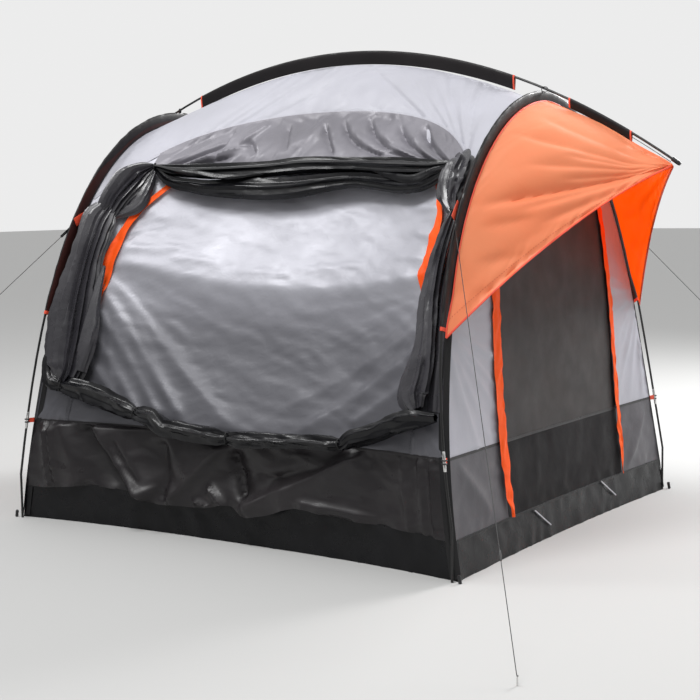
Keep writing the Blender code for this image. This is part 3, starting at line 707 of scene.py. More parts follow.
RECIPES = {
    Finish.SILVER: ClothFinish(
        (0.52, 0.52, 0.58), (0.47, 0.47, 0.52), 0.44, metallic=0.05, glow=0.14, crinkle=0.12, crinkle_size=0.06,
        glow_colour=(0.62, 0.6, 0.64),
    ),
    Finish.CHARCOAL: ClothFinish(
        (0.0165, 0.0145, 0.0162), (0.0235, 0.0208, 0.0224), 0.36, specular=0.36, crinkle=0.14, crinkle_size=0.06
    ),
    # Painted light: the charcoal cloth of the front band, coloured lighter on the side walls, where more light
    # falls.
    Finish.SIDE_BAND: ClothFinish(
        (0.088, 0.084, 0.094), (0.068, 0.064, 0.073), 0.42, specular=0.4, crinkle=0.2, crinkle_size=0.04
    ),
    # Painted shade: the panel is coloured darker low down, for the dark ground its glossy lower part mirrors.
    Finish.PANEL: ClothFinish(
        (0.48, 0.48, 0.53), (0.41, 0.41, 0.455), 0.42, 0.06, metallic=0.2, crinkle=0.22, crinkle_size=0.03,
        low=(0.115, 0.115, 0.13), painted_shade_from=0.85, painted_shade_to=1.28,
    ),
    Finish.SLEEVE: ClothFinish(
        (0.003, 0.003, 0.0042), (0.006, 0.006, 0.0074), 0.24, 0.06, specular=0.36, crinkle=0.12,
        crinkle_size=0.03,
    ),
    # Painted sheen: the same sleeve cloth, coloured lighter than in the rolls to stand for the highlights on
    # its pleats.
    Finish.GATHER: ClothFinish(
        (0.026, 0.025, 0.03), (0.044, 0.042, 0.049), 0.27, specular=0.7, crinkle=0.16, crinkle_size=0.03
    ),
    Finish.DOOR_FOOT: ClothFinish(
        (0.012, 0.011, 0.012), (0.017, 0.0155, 0.0165), 0.5, specular=0.08, crinkle=0.14, crinkle_size=0.05
    ),
    # Painted light: the same sleeve cloth, coloured far lighter where it hangs facing up, a painted reflection
    # of the sky.
    Finish.VEIL: ClothFinish(
        (0.215, 0.207, 0.234), (0.155, 0.149, 0.169), 0.4, metallic=0.15, crinkle=0.24, crinkle_size=0.03
    ),
    Finish.ARCH_SLEEVE: ClothFinish(
        (0.0105, 0.0092, 0.01), (0.016, 0.0136, 0.0148), 0.48, specular=0.25, crinkle=0.15, crinkle_size=0.03
    ),
    # Painted light: a dark reddish tint for the orange light that the awning sends onto an arch sleeve's inner
    # face.
    Finish.ORANGE_GLOW_TINT: ClothFinish(
        (0.036, 0.012, 0.012), (0.05, 0.016, 0.014), 0.5, specular=0.2, crinkle=0.15, crinkle_size=0.03
    ),
    # Painted light: the front awning panels are coloured paler and pinker than the cloth's own orange, a
    # painted sunlit sheen; the back panels take the deeper shaded copy below.
    Finish.ORANGE: ClothFinish(
        (1.0, 0.355, 0.16), (1.0, 0.31, 0.13), 0.44, glow=0.26, sheen=0.2, crinkle=0.14, crinkle_size=0.07,
        glow_colour=(0.98, 0.24, 0.02),
    ),
    Finish.ORANGE_SHADE: ClothFinish(
        (0.95, 0.3, 0.045), (0.92, 0.25, 0.03), 0.44, glow=0.64, crinkle=0.14, crinkle_size=0.07,
        glow_colour=(1.0, 0.29, 0.01),
    ),
    Finish.ORANGE_TAPE: ClothFinish(
        (0.86, 0.1, 0.045), (0.78, 0.07, 0.03), 0.5, crinkle=0.2, crinkle_size=0.02, weave=0.3
    ),
    Finish.FLAP: ClothFinish(
        (1.0, 0.125, 0.018), (0.96, 0.095, 0.012), 0.5, specular=0.12, crinkle=0.25, crinkle_size=0.03
    ),
    Finish.TUB: ClothFinish(
        (0.004, 0.004, 0.0048), (0.0062, 0.0062, 0.0074), 0.3, specular=0.24, crinkle=0.22, crinkle_size=0.05
    ),
    Finish.MESH: ClothFinish(
        (0.04, 0.036, 0.036), (0.052, 0.045, 0.043), 0.7, crinkle=0.1, weave=0.3, weave_pitch=0.003, cover=0.86
    ),
    Finish.POLE: HardFinish((0.006, 0.006, 0.006), (0.01, 0.01, 0.01), 0.35, grain=180),
    Finish.WEBBING: ClothFinish(
        (0.009, 0.009, 0.01), (0.014, 0.0135, 0.014), 0.65, specular=0.3,
        crinkle=0.15, weave=0.6, weave_pitch=0.0022,
    ),
    Finish.MOULDED: HardFinish((0.014, 0.014, 0.015), (0.02, 0.02, 0.021), 0.4, grain=400, bump=0.2),
    Finish.CORD: HardFinish((0.03, 0.03, 0.031), (0.05, 0.05, 0.05), 0.7, grain=900, bump=0.4),
    Finish.STEEL: HardFinish((0.62, 0.62, 0.61), (0.74, 0.74, 0.73), 0.24, 1.0, grain=260),
    Finish.THREAD: HardFinish((0.03, 0.03, 0.032), (0.05, 0.05, 0.052), 0.6, grain=1200, bump=0.3),
    Finish.ORANGE_THREAD: HardFinish((0.62, 0.09, 0.03), (0.72, 0.12, 0.05), 0.6, grain=1200, bump=0.3),
    Finish.PALE_THREAD: HardFinish((0.45, 0.45, 0.48), (0.56, 0.56, 0.6), 0.6, grain=1200, bump=0.3),
}


@dataclass
class Tailor:
    """Cuts, sews and hangs pieces: makes their meshes, finishes them and reports them."""

    form: TentForm
    finishes: dict[Finish, bpy.types.Material] = field(default_factory=dict)

    def finish(self, kind: Finish) -> bpy.types.Material:
        """The material of a finish, made when it is first asked for."""
        if kind not in self.finishes:
            self.finishes[kind] = RECIPES[kind].build(kind.value[1])
        return self.finishes[kind]

    def piece(
        self, name: str, points: Array, faces: Sequence[Sequence[int]], kind: Finish, uv: Array | None = None
    ) -> bpy.types.Object:
        """Makes a piece from points and faces and lets it ride on the tent.

        Args:
            name: The piece's name.
            points: Its points, in place.
            faces: Indices of each face, turned outwards.
            kind: Its finish.
            uv: A map position for each point, in metres.

        Returns:
            The piece.
        """
        data = bpy.data.meshes.new(name)
        data.from_pydata(points.tolist(), [], [list(f) for f in faces])
        data.update()
        if uv is not None:
            layer = data.uv_layers.new(name="cloth")
            corner = np.empty(len(data.loops), np.int32)
            data.loops.foreach_get("vertex_index", corner)
            layer.data.foreach_set("uv", uv[corner].astype(np.float32).ravel())
        data.shade_smooth()
        data.set_sharp_from_angle(angle=SHARP)
        return self.adopt(name, data, kind)

    def adopt(self, name: str, data: bpy.types.Mesh, kind: Finish) -> bpy.types.Object:
        """Makes a piece of a mesh, finishes it and lets it ride on the tent."""
        made = bpy.data.objects.new(name, data)
        bpy.context.scene.collection.objects.link(made)
        if not data.materials:
            data.materials.append(self.finish(kind))
        kind.slot
        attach(made, "root")
        log.info("%s: %d faces", name, len(data.polygons))
        return made

    def paint(self, node: str, kind: Finish) -> None:
        """Gives a node of the frame its finish."""
        data = bpy.data.objects[node].data
        data.materials.clear()
        data.materials.append(self.finish(kind))

    def thick(
        self, name: str, grid: Array, out: Array, thickness: float, kind: Finish, wrap: bool = False
    ) -> bpy.types.Object:
        """Makes a closed thin sheet from a grid of points and their outward normals.

        Args:
            name: The piece's name.
            grid: The outer surface, as rows of points.
            out: Unit normals of the same shape.
            thickness: How thick the cloth is.
            kind: Its finish.
            wrap: Whether each row closes on itself.

        Returns:
            The piece.
        """
        rows, columns = grid.shape[:2]
        inner = grid - out * thickness
        points = np.concatenate([grid.reshape(-1, 3), inner.reshape(-1, 3)])
        count = rows * columns
        index = np.arange(count).reshape(rows, columns)
        if wrap:
            index = np.concatenate([index, index[:, :1]], axis=1)
        a, b, c, d = index[:-1, :-1], index[:-1, 1:], index[1:, 1:], index[1:, :-1]
        quads = np.stack([a, b, c, d], axis=-1).reshape(-1, 4)
        first = np.cross(grid[0, 1] - grid[0, 0], grid[1, 0] - grid[0, 0])
        centre = np.cross(
            grid[rows // 2, columns // 2 + 1] - grid[rows // 2, columns // 2],
            grid[rows // 2 + 1, columns // 2] - grid[rows // 2, columns // 2],
        )
        facing = float(np.dot(centre, out[rows // 2, columns // 2])) or float(np.dot(first, out[0, 0]))
        rims = [(index[0], True), (index[-1], False)]
        if not wrap:
            rims += [(index[:, 0], False), (index[:, -1], True)]
        edge = []
        for line, forward in rims:
            p, q = (line[:-1], line[1:]) if forward else (line[1:], line[:-1])
            edge.append(np.stack([q, p, p + count, q + count], axis=-1))
        faces = np.concatenate([quads, quads[:, ::-1] + count, *edge])
        if facing < 0:
            faces = faces[:, ::-1]
        chart = Chart.of(grid, (0, 2)).edges[Edge.LEFT]
        flat = np.stack([chart[0], chart[1]], axis=-1).reshape(-1, 2)
        return self.piece(name, points, faces.tolist(), kind, np.concatenate([flat, flat]))

    def sheet(
        self,
        name: str,
        place: Place,
        cells: tuple[int, int],
        kind: Finish,
        reliefs: Sequence[Relief] = (),
        *,
        axes: tuple[int, int] = (0, 2),
        centre: Point = (0.0, 0.0, 0.9),
        thickness: float = CLOTH,
        wrap: bool = False,
        fade: float = 0.012,
        replaces: Sequence[str] = (),
        held: Held = Held.STRETCHED,
        hangs_on: Sequence[str] = (),
        free: Sequence[Edge] = (),
    ) -> tuple[bpy.types.Object, Array, Array]:
        """Makes a panel of cloth: its place, its folds, its thickness and its cut.

        Args:
            name: The piece's name.
            place: Gives points for shares across and up.
            cells: How many cells the grid has across and up.
            kind: The finish.
            reliefs: The folds on it.
            axes: Which coordinates the folds are mapped by.
            centre: A point on the inner side of the cloth.
            thickness: How thick the cloth is.
            wrap: Whether it closes on itself across.
            fade: How far from a sewn edge the folds reach their full height.
            replaces: The solids that it stands for.
            held: How it is held; not used.
            hangs_on: What it hangs from; not used.
            free: Edges that aren't sewn, where folds keep their height.

        Returns:
            The piece, its outer points and their normals.
        """
        across = np.linspace(0, 1, cells[0] + 1)[: cells[0] if wrap else None]
        u, v = np.meshgrid(across, np.linspace(0, 1, cells[1] + 1))
        grid = place(u, v)
        out = self.normals(grid, wrap)
        if float(np.sum(out * (grid - np.array(centre)))) < 0:
            out = -out
        if reliefs:
            chart = Chart.of(grid, axes)
            height = sum(relief.height(chart) for relief in reliefs)
            for edge in Edge:
                if edge in free or (wrap and edge in (Edge.LEFT, Edge.RIGHT)):
                    continue
                height = height * smooth(chart.edges[edge][0] / fade)
            grid = grid + out * height[..., None]
            sign = np.sign(np.sum(self.normals(grid, wrap) * out, axis=-1, keepdims=True))
            out = self.normals(grid, wrap) * np.where(sign == 0, 1, sign)
        made = self.thick(name, grid, out, thickness, kind, wrap)
        if replaces:
            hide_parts(*replaces)
        self.declare(made, grid, held, hangs_on, wrap)
        return made, grid, out

    @staticmethod
    def normals(grid: Array, wrap: bool = False) -> Array:
        """Unit normals of a grid of points, by its rows and columns."""
        if wrap:
            du = np.roll(grid, -1, axis=1) - np.roll(grid, 1, axis=1)
        else:
            du = np.gradient(grid, axis=1)
        return unit(np.cross(du, np.gradient(grid, axis=0)))

    @staticmethod
    def declare(made: bpy.types.Object, grid: Array, held: Held, hangs_on: Sequence[str], wrap: bool) -> None:
        """Measures the cut a sheet was made from, along its own threads; the measures are not kept."""
        closed = np.concatenate([grid, grid[:, :1]], axis=1) if wrap else grid
        across = np.linalg.norm(np.diff(closed, axis=1), axis=-1)
        up = np.linalg.norm(np.diff(closed, axis=0), axis=-1)
        width, length = float(across.sum(1).max()), float(up.sum(0).max())
        cell = np.cross(closed[1:, 1:] - closed[:-1, :-1], closed[1:, :-1] - closed[:-1, 1:])
        area = float(np.linalg.norm(cell, axis=-1).sum() / 2)
        area = min(max(area, LEAST_AREA * width * length), width * length)
        list(hangs_on)

    def tape(
        self, name: str, line: Array, out: Array, width: float, kind: Finish, thickness: float = TAPE,
        lift: float = 0.0, closed: bool = False,
    ) -> bpy.types.Object:
        """Makes a flat tape along a line.

        Args:
            name: The piece's name.
            line: Points along the tape's middle, on the cloth.
            out: Unit normals of the cloth there.
            width: The tape's width.
            kind: Its finish.
            thickness: Its thickness.
            lift: How far it lies off the line.
            closed: Whether it comes back to its start.

        Returns:
            The piece.
        """
        if closed:
            run = np.roll(line, -1, axis=0) - np.roll(line, 1, axis=0)
        else:
            run = np.gradient(line, axis=0)
        side = unit(np.cross(unit(run), out))
        section = ((-0.5, 0.0), (-0.5, 0.7), (-0.42, 1.0), (0.42, 1.0), (0.5, 0.7), (0.5, 0.0))
        rings = [line + side * (a * width) + out * (b * thickness + lift) for a, b in section]
        across = np.array([a * width for a, _ in section])
        return self.skin(name, line, np.stack(rings, axis=1), across, kind, closed)

    def skin(
        self, name: str, line: Array, rings: Array, across: Array, kind: Finish, closed: bool = False,
        turned: bool = False,
    ) -> bpy.types.Object:
        """Joins rings of points into a closed skin.

        Args:
            name: The piece's name.
            line: The middle of each ring.
            rings: The points, ring by ring.
            across: How far round a ring each of its points is, for the flat map.
            kind: Its finish.
            closed: Whether the last ring joins the first.
            turned: Whether the rings run the other way round.

        Returns:
            The piece.
        """
        count, sides = rings.shape[:2]
        index = np.arange(count * sides).reshape(count, sides)
        if closed:
            index = np.concatenate([index, index[:1]])
        faces = []
        for k in range(sides):
            m = (k + 1) % sides
            quads = np.stack([index[:-1, k], index[1:, k], index[1:, m], index[:-1, m]], -1)
            faces += quads[:, [0, 3, 2, 1] if turned else [0, 1, 2, 3]].tolist()
        if not closed:
            step = -1 if turned else 1
            faces += [index[0][::step].tolist(), index[-1][::-step].tolist()]
        along = np.concatenate([[0], np.cumsum(np.linalg.norm(np.diff(line, axis=0), axis=-1))])
        uv = np.stack([np.tile(across, (count, 1)), np.repeat(along[:, None], sides, 1)], -1)
        return self.piece(name, rings.reshape(-1, 3), faces, kind, uv.reshape(-1, 2))

    def tube(
        self, name: str, line: Array, radius: Array | float, kind: Finish, sides: int = 10
    ) -> bpy.types.Object:
        """Makes a round rod along a line, with flat ends and a radius that may change."""
        run = unit(np.gradient(line, axis=0))
        guide = np.array([0.0, 0.0, 1.0]) if abs(run[0][2]) < 0.9 else np.array([1.0, 0.0, 0.0])
        side = unit(np.cross(run, guide))
        up = np.cross(side, run)
        turn = np.linspace(0, 2 * np.pi, sides, endpoint=False)
        radius = np.broadcast_to(np.asarray(radius, float), (len(line),))[:, None, None]
        ring = side[:, None] * np.cos(turn)[None, :, None] + up[:, None] * np.sin(turn)[None, :, None]
        return self.skin(name, line, line[:, None] + ring * radius, turn * 0.005, kind, turned=True)


Span = Callable[[Array], Array]


def level(value: float) -> Span:
    """A span's bound that is the same everywhere."""
    return lambda across: np.full(np.shape(across), value)


@dataclass
class Seamstress:
    """Sews the lines of stitches and zip teeth with Geometry Nodes."""

    tailor: Tailor

    @cached_property
    def tree(self) -> bpy.types.NodeTree:
        """A tree that sets small bars along a line, square to the attribute called out."""
        tree = bpy.data.node_groups.new("sewn_run", "GeometryNodeTree")
        tree.is_modifier = True
        sockets = tree.interface
        sockets.new_socket("Geometry", in_out="INPUT", socket_type="NodeSocketGeometry")
        for name in ("Pitch", "Length", "Width", "Height"):
            sockets.new_socket(name, in_out="INPUT", socket_type="NodeSocketFloat")
        sockets.new_socket("Finish", in_out="INPUT", socket_type="NodeSocketMaterial")
        sockets.new_socket("Geometry", in_out="OUTPUT", socket_type="NodeSocketGeometry")
        add, join = tree.nodes.new, tree.links.new
        given, out = add("NodeGroupInput"), add("NodeGroupOutput")
        curve, even = add("GeometryNodeMeshToCurve"), add("GeometryNodeResampleCurve")
        even.mode = "LENGTH"
        bar, size = add("GeometryNodeMeshCube"), add("ShaderNodeCombineXYZ")
        setting, run = add("GeometryNodeInstanceOnPoints"), add("GeometryNodeInputTangent")
        along, square = add("FunctionNodeAlignRotationToVector"), add("FunctionNodeAlignRotationToVector")
        along.axis, square.axis, square.pivot_axis = "X", "Z", "X"
        normal = add("GeometryNodeInputNamedAttribute")
        normal.data_type = "FLOAT_VECTOR"
        normal.inputs["Name"].default_value = "out"
        whole, paint = add("GeometryNodeRealizeInstances"), add("GeometryNodeSetMaterial")
        for source, target in (
            (given.outputs["Geometry"], curve.inputs["Mesh"]),
            (curve.outputs["Curve"], even.inputs["Curve"]),
            (given.outputs["Pitch"], even.inputs["Length"]),
            (given.outputs["Length"], size.inputs[0]),
            (given.outputs["Width"], size.inputs[1]),
            (given.outputs["Height"], size.inputs[2]),
            (size.outputs[0], bar.inputs["Size"]),
            (even.outputs["Curve"], setting.inputs["Points"]),
            (bar.outputs["Mesh"], setting.inputs["Instance"]),
            (run.outputs["Tangent"], along.inputs["Vector"]),
            (along.outputs["Rotation"], square.inputs["Rotation"]),
            (normal.outputs["Attribute"], square.inputs["Vector"]),
            (square.outputs["Rotation"], setting.inputs["Rotation"]),
            (setting.outputs["Instances"], whole.inputs["Geometry"]),
            (whole.outputs["Geometry"], paint.inputs["Geometry"]),
            (given.outputs["Finish"], paint.inputs["Material"]),
            (paint.outputs["Geometry"], out.inputs["Geometry"]),
        ):
            join(source, target)
        return tree

    def sew(
        self, name: str, runs: Sequence[tuple[Array, Array]], kind: Finish,
        pitch: float = 0.014, size: Point = (0.006, 0.0016, 0.0008),
    ) -> bpy.types.Object:
        """Sets bars along lines that lie on cloth.

        Args:
            name: The piece's name.
            runs: Lines of points, each with its unit normals.
            kind: The finish.
            pitch: From one bar to the next.
            size: A bar's length, width and height.

        Returns:
            The piece, as a plain mesh.
        """
        data = bpy.data.meshes.new(name + "_line")
        points, edges, outs = [], [], []
        for line, out in runs:
            first = len(points)
            points += line.tolist()
            outs += out.tolist()
            edges += [(first + k, first + k + 1) for k in range(len(line) - 1)]
        data.from_pydata(points, edges, [])
        layer = data.attributes.new("out", "FLOAT_VECTOR", "POINT")
        layer.data.foreach_set("vector", np.array(outs, np.float32).ravel())
        guide = bpy.data.objects.new(name + "_line", data)
        bpy.context.scene.collection.objects.link(guide)
        step = guide.modifiers.new("sew", "NODES")
        step.node_group = self.tree
        values = {"Pitch": pitch, "Length": size[0], "Width": size[1], "Height": size[2]}
        values["Finish"] = self.tailor.finish(kind)
        for item in self.tree.interface.items_tree:
            if item.item_type == "SOCKET" and item.in_out == "INPUT" and item.name in values:
                step[item.identifier] = values[item.name]
        evaluated = guide.evaluated_get(bpy.context.evaluated_depsgraph_get())
        plain = bpy.data.meshes.new_from_object(evaluated)
        plain.name = name
        bpy.data.objects.remove(guide)
        return self.tailor.adopt(name, plain, kind)


@dataclass
class Shop:
    """What every sub-assembly is made with: the form's laws, the tailor and the seamstress."""

    form: TentForm
    tailor: Tailor
    sewing: Seamstress

    def patch(
        self, end: float, across: tuple[float, float], low: Span, high: Span, eased: bool = False
    ) -> Place:
        """A place on a face between two shares across and two side heights."""

        def place(u: Array, v: Array) -> Array:
            share = mix(across[0], across[1], u)
            rise = 1 - (1 - v) ** 2 if eased else v
            return self.form.face(share, mix(low(share), high(share), rise), end)

        return place

    def spot(self, across: float, height: float) -> tuple[float, float]:
        """The x and z of a point of a face."""
        x, _, z = self.form.face(np.array(across), np.array(height), -1.0)
        return float(x), float(z)

    def creases(self, rows: Sequence[Sequence[float]], deeper: float = 1.0) -> list[Relief]:
        """Creases from rows of two spots on the face (share, height), depth, width, skew and bend."""
        spot = self.spot
        return [Crease(spot(a, b), spot(c, d), depth * deeper, *rest) for a, b, c, d, depth, *rest in rows]

    def face_line(self, end: float, across: Array, height: Array, lift: float = 0.001) -> tuple[Array, Array]:
        """A line on a face, with its normals."""
        out = self.form.face_normal(across, height, end)
        return self.form.face(across, height, end) + out * lift, out

    def wall_line(self, side: float, y: Array, height: Array, lift: float = 0.001) -> tuple[Array, Array]:
        """A line on a side wall, with its normals."""
        line = self.form.wall(y, height, side, lift)
        return line, np.broadcast_to([side, 0.0, 0.1], line.shape) / math.hypot(1, 0.1)

    def seam(self, name: str, line: Array, out: Array, kind: Finish, width: float = 0.012) -> None:
        """Covers a seam with a tape and two rows of stitches."""
        self.tailor.tape(name, line, out, width, kind)
        side = unit(np.cross(np.gradient(line, axis=0), out))
        rows = [(line + out * 0.0013 + side * (s * width * 0.32), out) for s in (-1, 1)]
        thread = Finish.PALE_THREAD if kind is Finish.SILVER else Finish.THREAD
        self.sewing.sew(name + "_stitches", rows, thread)


@dataclass
class Roof(Shop):
    """The silver cloth from the ridge down to the seams over the front and the back."""

    def build(self) -> None:
        """Makes both slopes and the seam tape along the lower edge of each."""
        form, tailor = self.form, self.tailor
        for word, end in ENDS.items():
            place = self.patch(end, (-1, 1), form.opening_top, level(form.seam_top), True)
            tailor.sheet(
                f"{word}_roof_cloth", place, (150, 60) if end < 0 else (90, 36), Finish.SILVER, self.folds(end),
                replaces=[f"roof_{word}"], hangs_on=["ridge_pole"], fade=0.01,
            )
            across = np.linspace(-SEAM_REACH, SEAM_REACH, 160)
            line, out = self.face_line(end, across, form.opening_top(across))
            self.seam(f"{word}_roof_seam", line, out, Finish.SILVER, 0.014)

    def folds(self, end: float) -> list[Relief]:
        """The fans from the knots on the vehicle side, and puckers along every sewn edge."""
        left, right = self.spot(-0.8, 1.6), self.spot(0.89, 1.6)
        edges: list[Relief] = [
            Pucker(Edge.TOP, 0.0035, 0.05, 0.05, 11), Pucker(Edge.BOTTOM, 0.004, 0.05, 0.04, 12),
            Pucker(Edge.LEFT, 0.005, 0.05, 0.06, 13), Pucker(Edge.RIGHT, 0.005, 0.05, 0.06, 14),
            Crumple(0.006, 0.3, 1.6, 70, 15, 1),
        ]
        if end > 0:
            return edges + [Fan((0, 1.8), 90, 80, 9, 0.006, 0.5, 0.1, 16)]
        return edges + [
            Fan(right, 130, 30, 13, -0.017, 0.95, 0.05, 17, 0.14),
            Fan(right, 165, 12, 4, -0.014, 0.6, 0.05, 19, 0.16),
            Fan(left, 32, 16, 5, -0.011, 0.85, 0.05, 18, 0.16),
            Fan(left, 112, 55, 17, -0.013, 0.28, 0.03, 20, 0.14),
        ]


@dataclass
class VehicleSide(Shop):
    """The front: lower dark band, silver margins, and the zipped panel in the opening."""

    end: float = -1.0

    def build(self) -> None:
        """Makes the cloth, the storm flaps and the seams."""
        form, tailor = self.form, self.tailor
        top = form.opening_top
        half = form.opening_share
        band = level(form.band_height)
        tailor.sheet(
            "vehicle_side_band", self.patch(self.end, (-1, 1), form.hem, band), (180, 40),
            Finish.CHARCOAL, self.band_folds(), replaces=["front_band"], hangs_on=["closure_panel"],
            free=[Edge.BOTTOM],
        )
        tailor.sheet(
            "closure_panel", self.patch(self.end, (-half, half), band, top), (150, 104),
            Finish.PANEL, self.panel_folds(), replaces=["vehicle_side_panel"], hangs_on=["front_roof_cloth"],
        )
        for word, side in SIDES.items():
            # The margins take the panel's finish, with its painted shade towards the ground.
            tailor.sheet(
                f"{word}_front_margin", self.patch(self.end, (side * half, side), band, top), (18, 76),
                Finish.PANEL, self.margin_folds(side),
                replaces=[f"front_margin_{word}"], hangs_on=["front_roof_cloth"],
            )
            self.storm_flap(word, side)
        self.seams()

    def margin_folds(self, side: float) -> list[Relief]:
        """Creases from the end of the lower roll down to the corner."""
        return self.creases([
            (side * 0.85, 0.66 - 0.03 * k, side * (0.995 - 0.05 * k), 0.47, 0.01, 0.012, 0.2 * side, 0.0, 0.15)
            for k in range(4)
        ])

    def panel_folds(self) -> list[Relief]:
        """Ridges that run in from both sides above the lower roll, and fine creases."""
        s = self.spot
        return self.creases((
            (-0.9, 1.23, 0.9, 1.18, 0.05, 0.15, -0.45, -0.13, 0.1),
            (-0.9, 0.86, -0.57, 0.54, 0.014, 0.03, 0.45, 0.0, 0.08),
            (-0.9, 0.96, -0.47, 0.52, 0.022, 0.042, 0.45, 0.0, 0.08),
            (-0.9, 1.06, -0.36, 0.52, 0.018, 0.036, 0.4, -0.01, 0.08),
            (-0.89, 1.14, -0.24, 0.52, 0.024, 0.05, 0.4, -0.03, 0.08),
            (-0.87, 1.18, 0.02, 0.5, 0.016, 0.05, 0.4, -0.05, 0.12),
            (0.88, 0.8, 0.54, 0.56, 0.018, 0.035, -0.4, 0.0, 0.1),
            (0.88, 0.92, 0.3, 0.51, 0.022, 0.05, -0.4, 0.02, 0.12),
            (0.88, 1.02, 0.16, 0.58, 0.012, 0.045, -0.3, 0.03, 0.2),
            (-0.84, 1.35, -0.62, 1.34, 0.006, 0.012, 0.3, 0.01, 0.3),
            (-0.84, 1.28, -0.6, 1.29, -0.007, 0.014, 0.3, 0.01, 0.3),
            (-0.85, 1.24, -0.4, 1.17, 0.009, 0.018, 0.3, 0.02, 0.3),
            (-0.6, 1.17, -0.25, 1.11, 0.007, 0.014, 0.3, 0.01, 0.3),
            (-0.3, 1.1, 0.1, 1.08, 0.007, 0.014, 0.3, 0.01, 0.3),
            (0.12, 1.1, 0.5, 1.14, 0.007, 0.014, 0.3, 0.01, 0.3),
            (0.84, 1.42, 0.62, 1.36, 0.009, 0.016, 0.3, 0.0, 0.3),
            (0.85, 1.3, 0.66, 1.28, 0.008, 0.014, 0.3, 0.0, 0.3),
            (0.86, 1.22, 0.55, 1.17, 0.009, 0.018, 0.3, 0.0, 0.3),
        )) + [
            Crumple(0.0062, 0.028, 4.0, -7, 22, 2),
            Crumple(0.01, 0.12, 3.4, -15, 23, 1),
            Fan(s(-0.88, 1.2), -40, 32, 12, 0.008, 0.85, 0.08, 24, 0.2),
            Fan(s(0.87, 1.1), -145, 32, 10, 0.008, 0.7, 0.08, 25, 0.2),
            Pucker(Edge.LEFT, 0.006, 0.06, 0.09, 26), Pucker(Edge.RIGHT, 0.006, 0.06, 0.07, 27),
            Pucker(Edge.BOTTOM, 0.006, 0.09, 0.06, 28),
        ]

    def band_folds(self) -> list[Relief]:
        """The large draped folds of the lower band, which sags over the floor's wall."""
        s = self.spot
        return self.creases((
            (-0.86, 0.5, -0.72, 0.16, 0.034, 0.085, 0.6, 0.0, 0.12),
            (-0.76, 0.5, -0.47, 0.14, -0.034, 0.045, 0.3, -0.02, 0.12),
            (-0.69, 0.5, -0.37, 0.13, 0.05, 0.06, -0.6, -0.025, 0.1),
            (-0.6, 0.44, -0.4, 0.2, -0.02, 0.03, 0.3, -0.02, 0.2),
            (-0.34, 0.44, -0.3, 0.14, -0.02, 0.05, 0.4, 0.0, 0.15),
            (-0.02, 0.44, -0.3, 0.13, 0.028, 0.05, 0.6, 0.0, 0.12),
            (-0.01, 0.42, 0.07, 0.18, -0.034, 0.04, -0.4, 0.0, 0.15),
            (0.04, 0.15, 0.64, 0.46, 0.034, 0.06, 0.65, 0.0, 0.1),
            (0.16, 0.3, 0.5, 0.4, -0.014, 0.03, 0.4, 0.0, 0.2),
            (-0.1, 0.26, 0.01, 0.14, 0.026, 0.022, 0.5, 0.0, 0.2),
            (-0.18, 0.17, -0.06, 0.15, 0.02, 0.016, 0.4, 0.0, 0.2),
            (0.28, 0.23, 0.7, 0.2, 0.016, 0.03, 0.6, 0.0, 0.3),
            (0.4, 0.18, 0.6, 0.17, -0.016, 0.018, 0.4, 0.0, 0.2),
            (-0.95, 0.5, -0.87, 0.14, 0.016, 0.018, 0.2, 0.0, 0.12),
            (-0.92, 0.5, -0.835, 0.14, 0.014, 0.014, -0.2, 0.0, 0.12),
            (0.88, 0.5, 0.885, 0.14, 0.012, 0.014, 0.2, 0.0, 0.12),
            (0.93, 0.5, 0.935, 0.14, 0.014, 0.016, 0.2, 0.0, 0.12),
            (0.8, 0.5, 0.82, 0.14, 0.01, 0.02, 0.2, 0.0, 0.12),
        ), 1.45) + [
            Sag(s(0.05, 0.17), (0.75, 0.07), 0.02), Sag(s(-0.45, 0.17), (0.16, 0.08), 0.018),
            Crumple(0.014, 0.13, 1.7, -25, 31, 2), Crumple(0.01, 0.045, 2.2, 10, 34, 1),
            Pucker(Edge.BOTTOM, 0.016, 0.09, 0.045, 32), Pucker(Edge.TOP, 0.006, 0.07, 0.05, 33),
        ]

    def storm_flap(self, word: str, side: float) -> None:
        """An orange strip over a zip of the panel, which follows the panel's large creases."""
        form, end = self.form, self.end
        folds = [fold for fold in self.panel_folds() if isinstance(fold, Crease)]
        noise = Noise(40 + int(side))
        rows = {
            "left": ((0.62, 0.87), (0.9, 0.862), (1.07, 0.842), (1.22, 0.838), (1.38, 0.8), (1.5, 0.68),
                     (1.56, 0.62)),
            "right": ((0.62, 0.885), (0.9, 0.875), (1.1, 0.835), (1.25, 0.83), (1.38, 0.835), (1.5, 0.75),
                      (1.56, 0.7)),
        }[word]

        def place(u: Array, v: Array) -> Array:
            height = mix(0.72, 1.5, v)
            centre = rail(rows, height)[..., 0] + 0.008 * (noise.at(height * 9, 0.0) - 0.5)
            wide = (0.05 if side < 0 else 0.042) * mix(0.75, 1.25, noise.at(height * 9, 4.0))
            twist = 0.02 * (u - 0.5) * (noise.facets(height * 13, 9.0) - 0.5)
            wave = 0.012 * (noise.facets(height * 30, u * 2.5) - 0.4)
            share = side * centre + (u - 0.5) * wide
            chart = Chart.of(form.face(share, height, end), (0, 2))
            on_panel = smooth((form.opening_share - np.abs(share)) / 0.02)
            lift = sum(fold.height(chart) for fold in folds) * on_panel
            return form.off_face(share, height, end, 0.017 + wave + twist + np.maximum(0.0, lift))

        self.tailor.sheet(
            f"{word}_storm_flap", place, (6, 96), Finish.FLAP, [Crumple(0.003, 0.02, 1.5, 30, 41)],
            replaces=[f"panel_flap_{word}"], hangs_on=["closure_panel"], fade=0.001,
        )

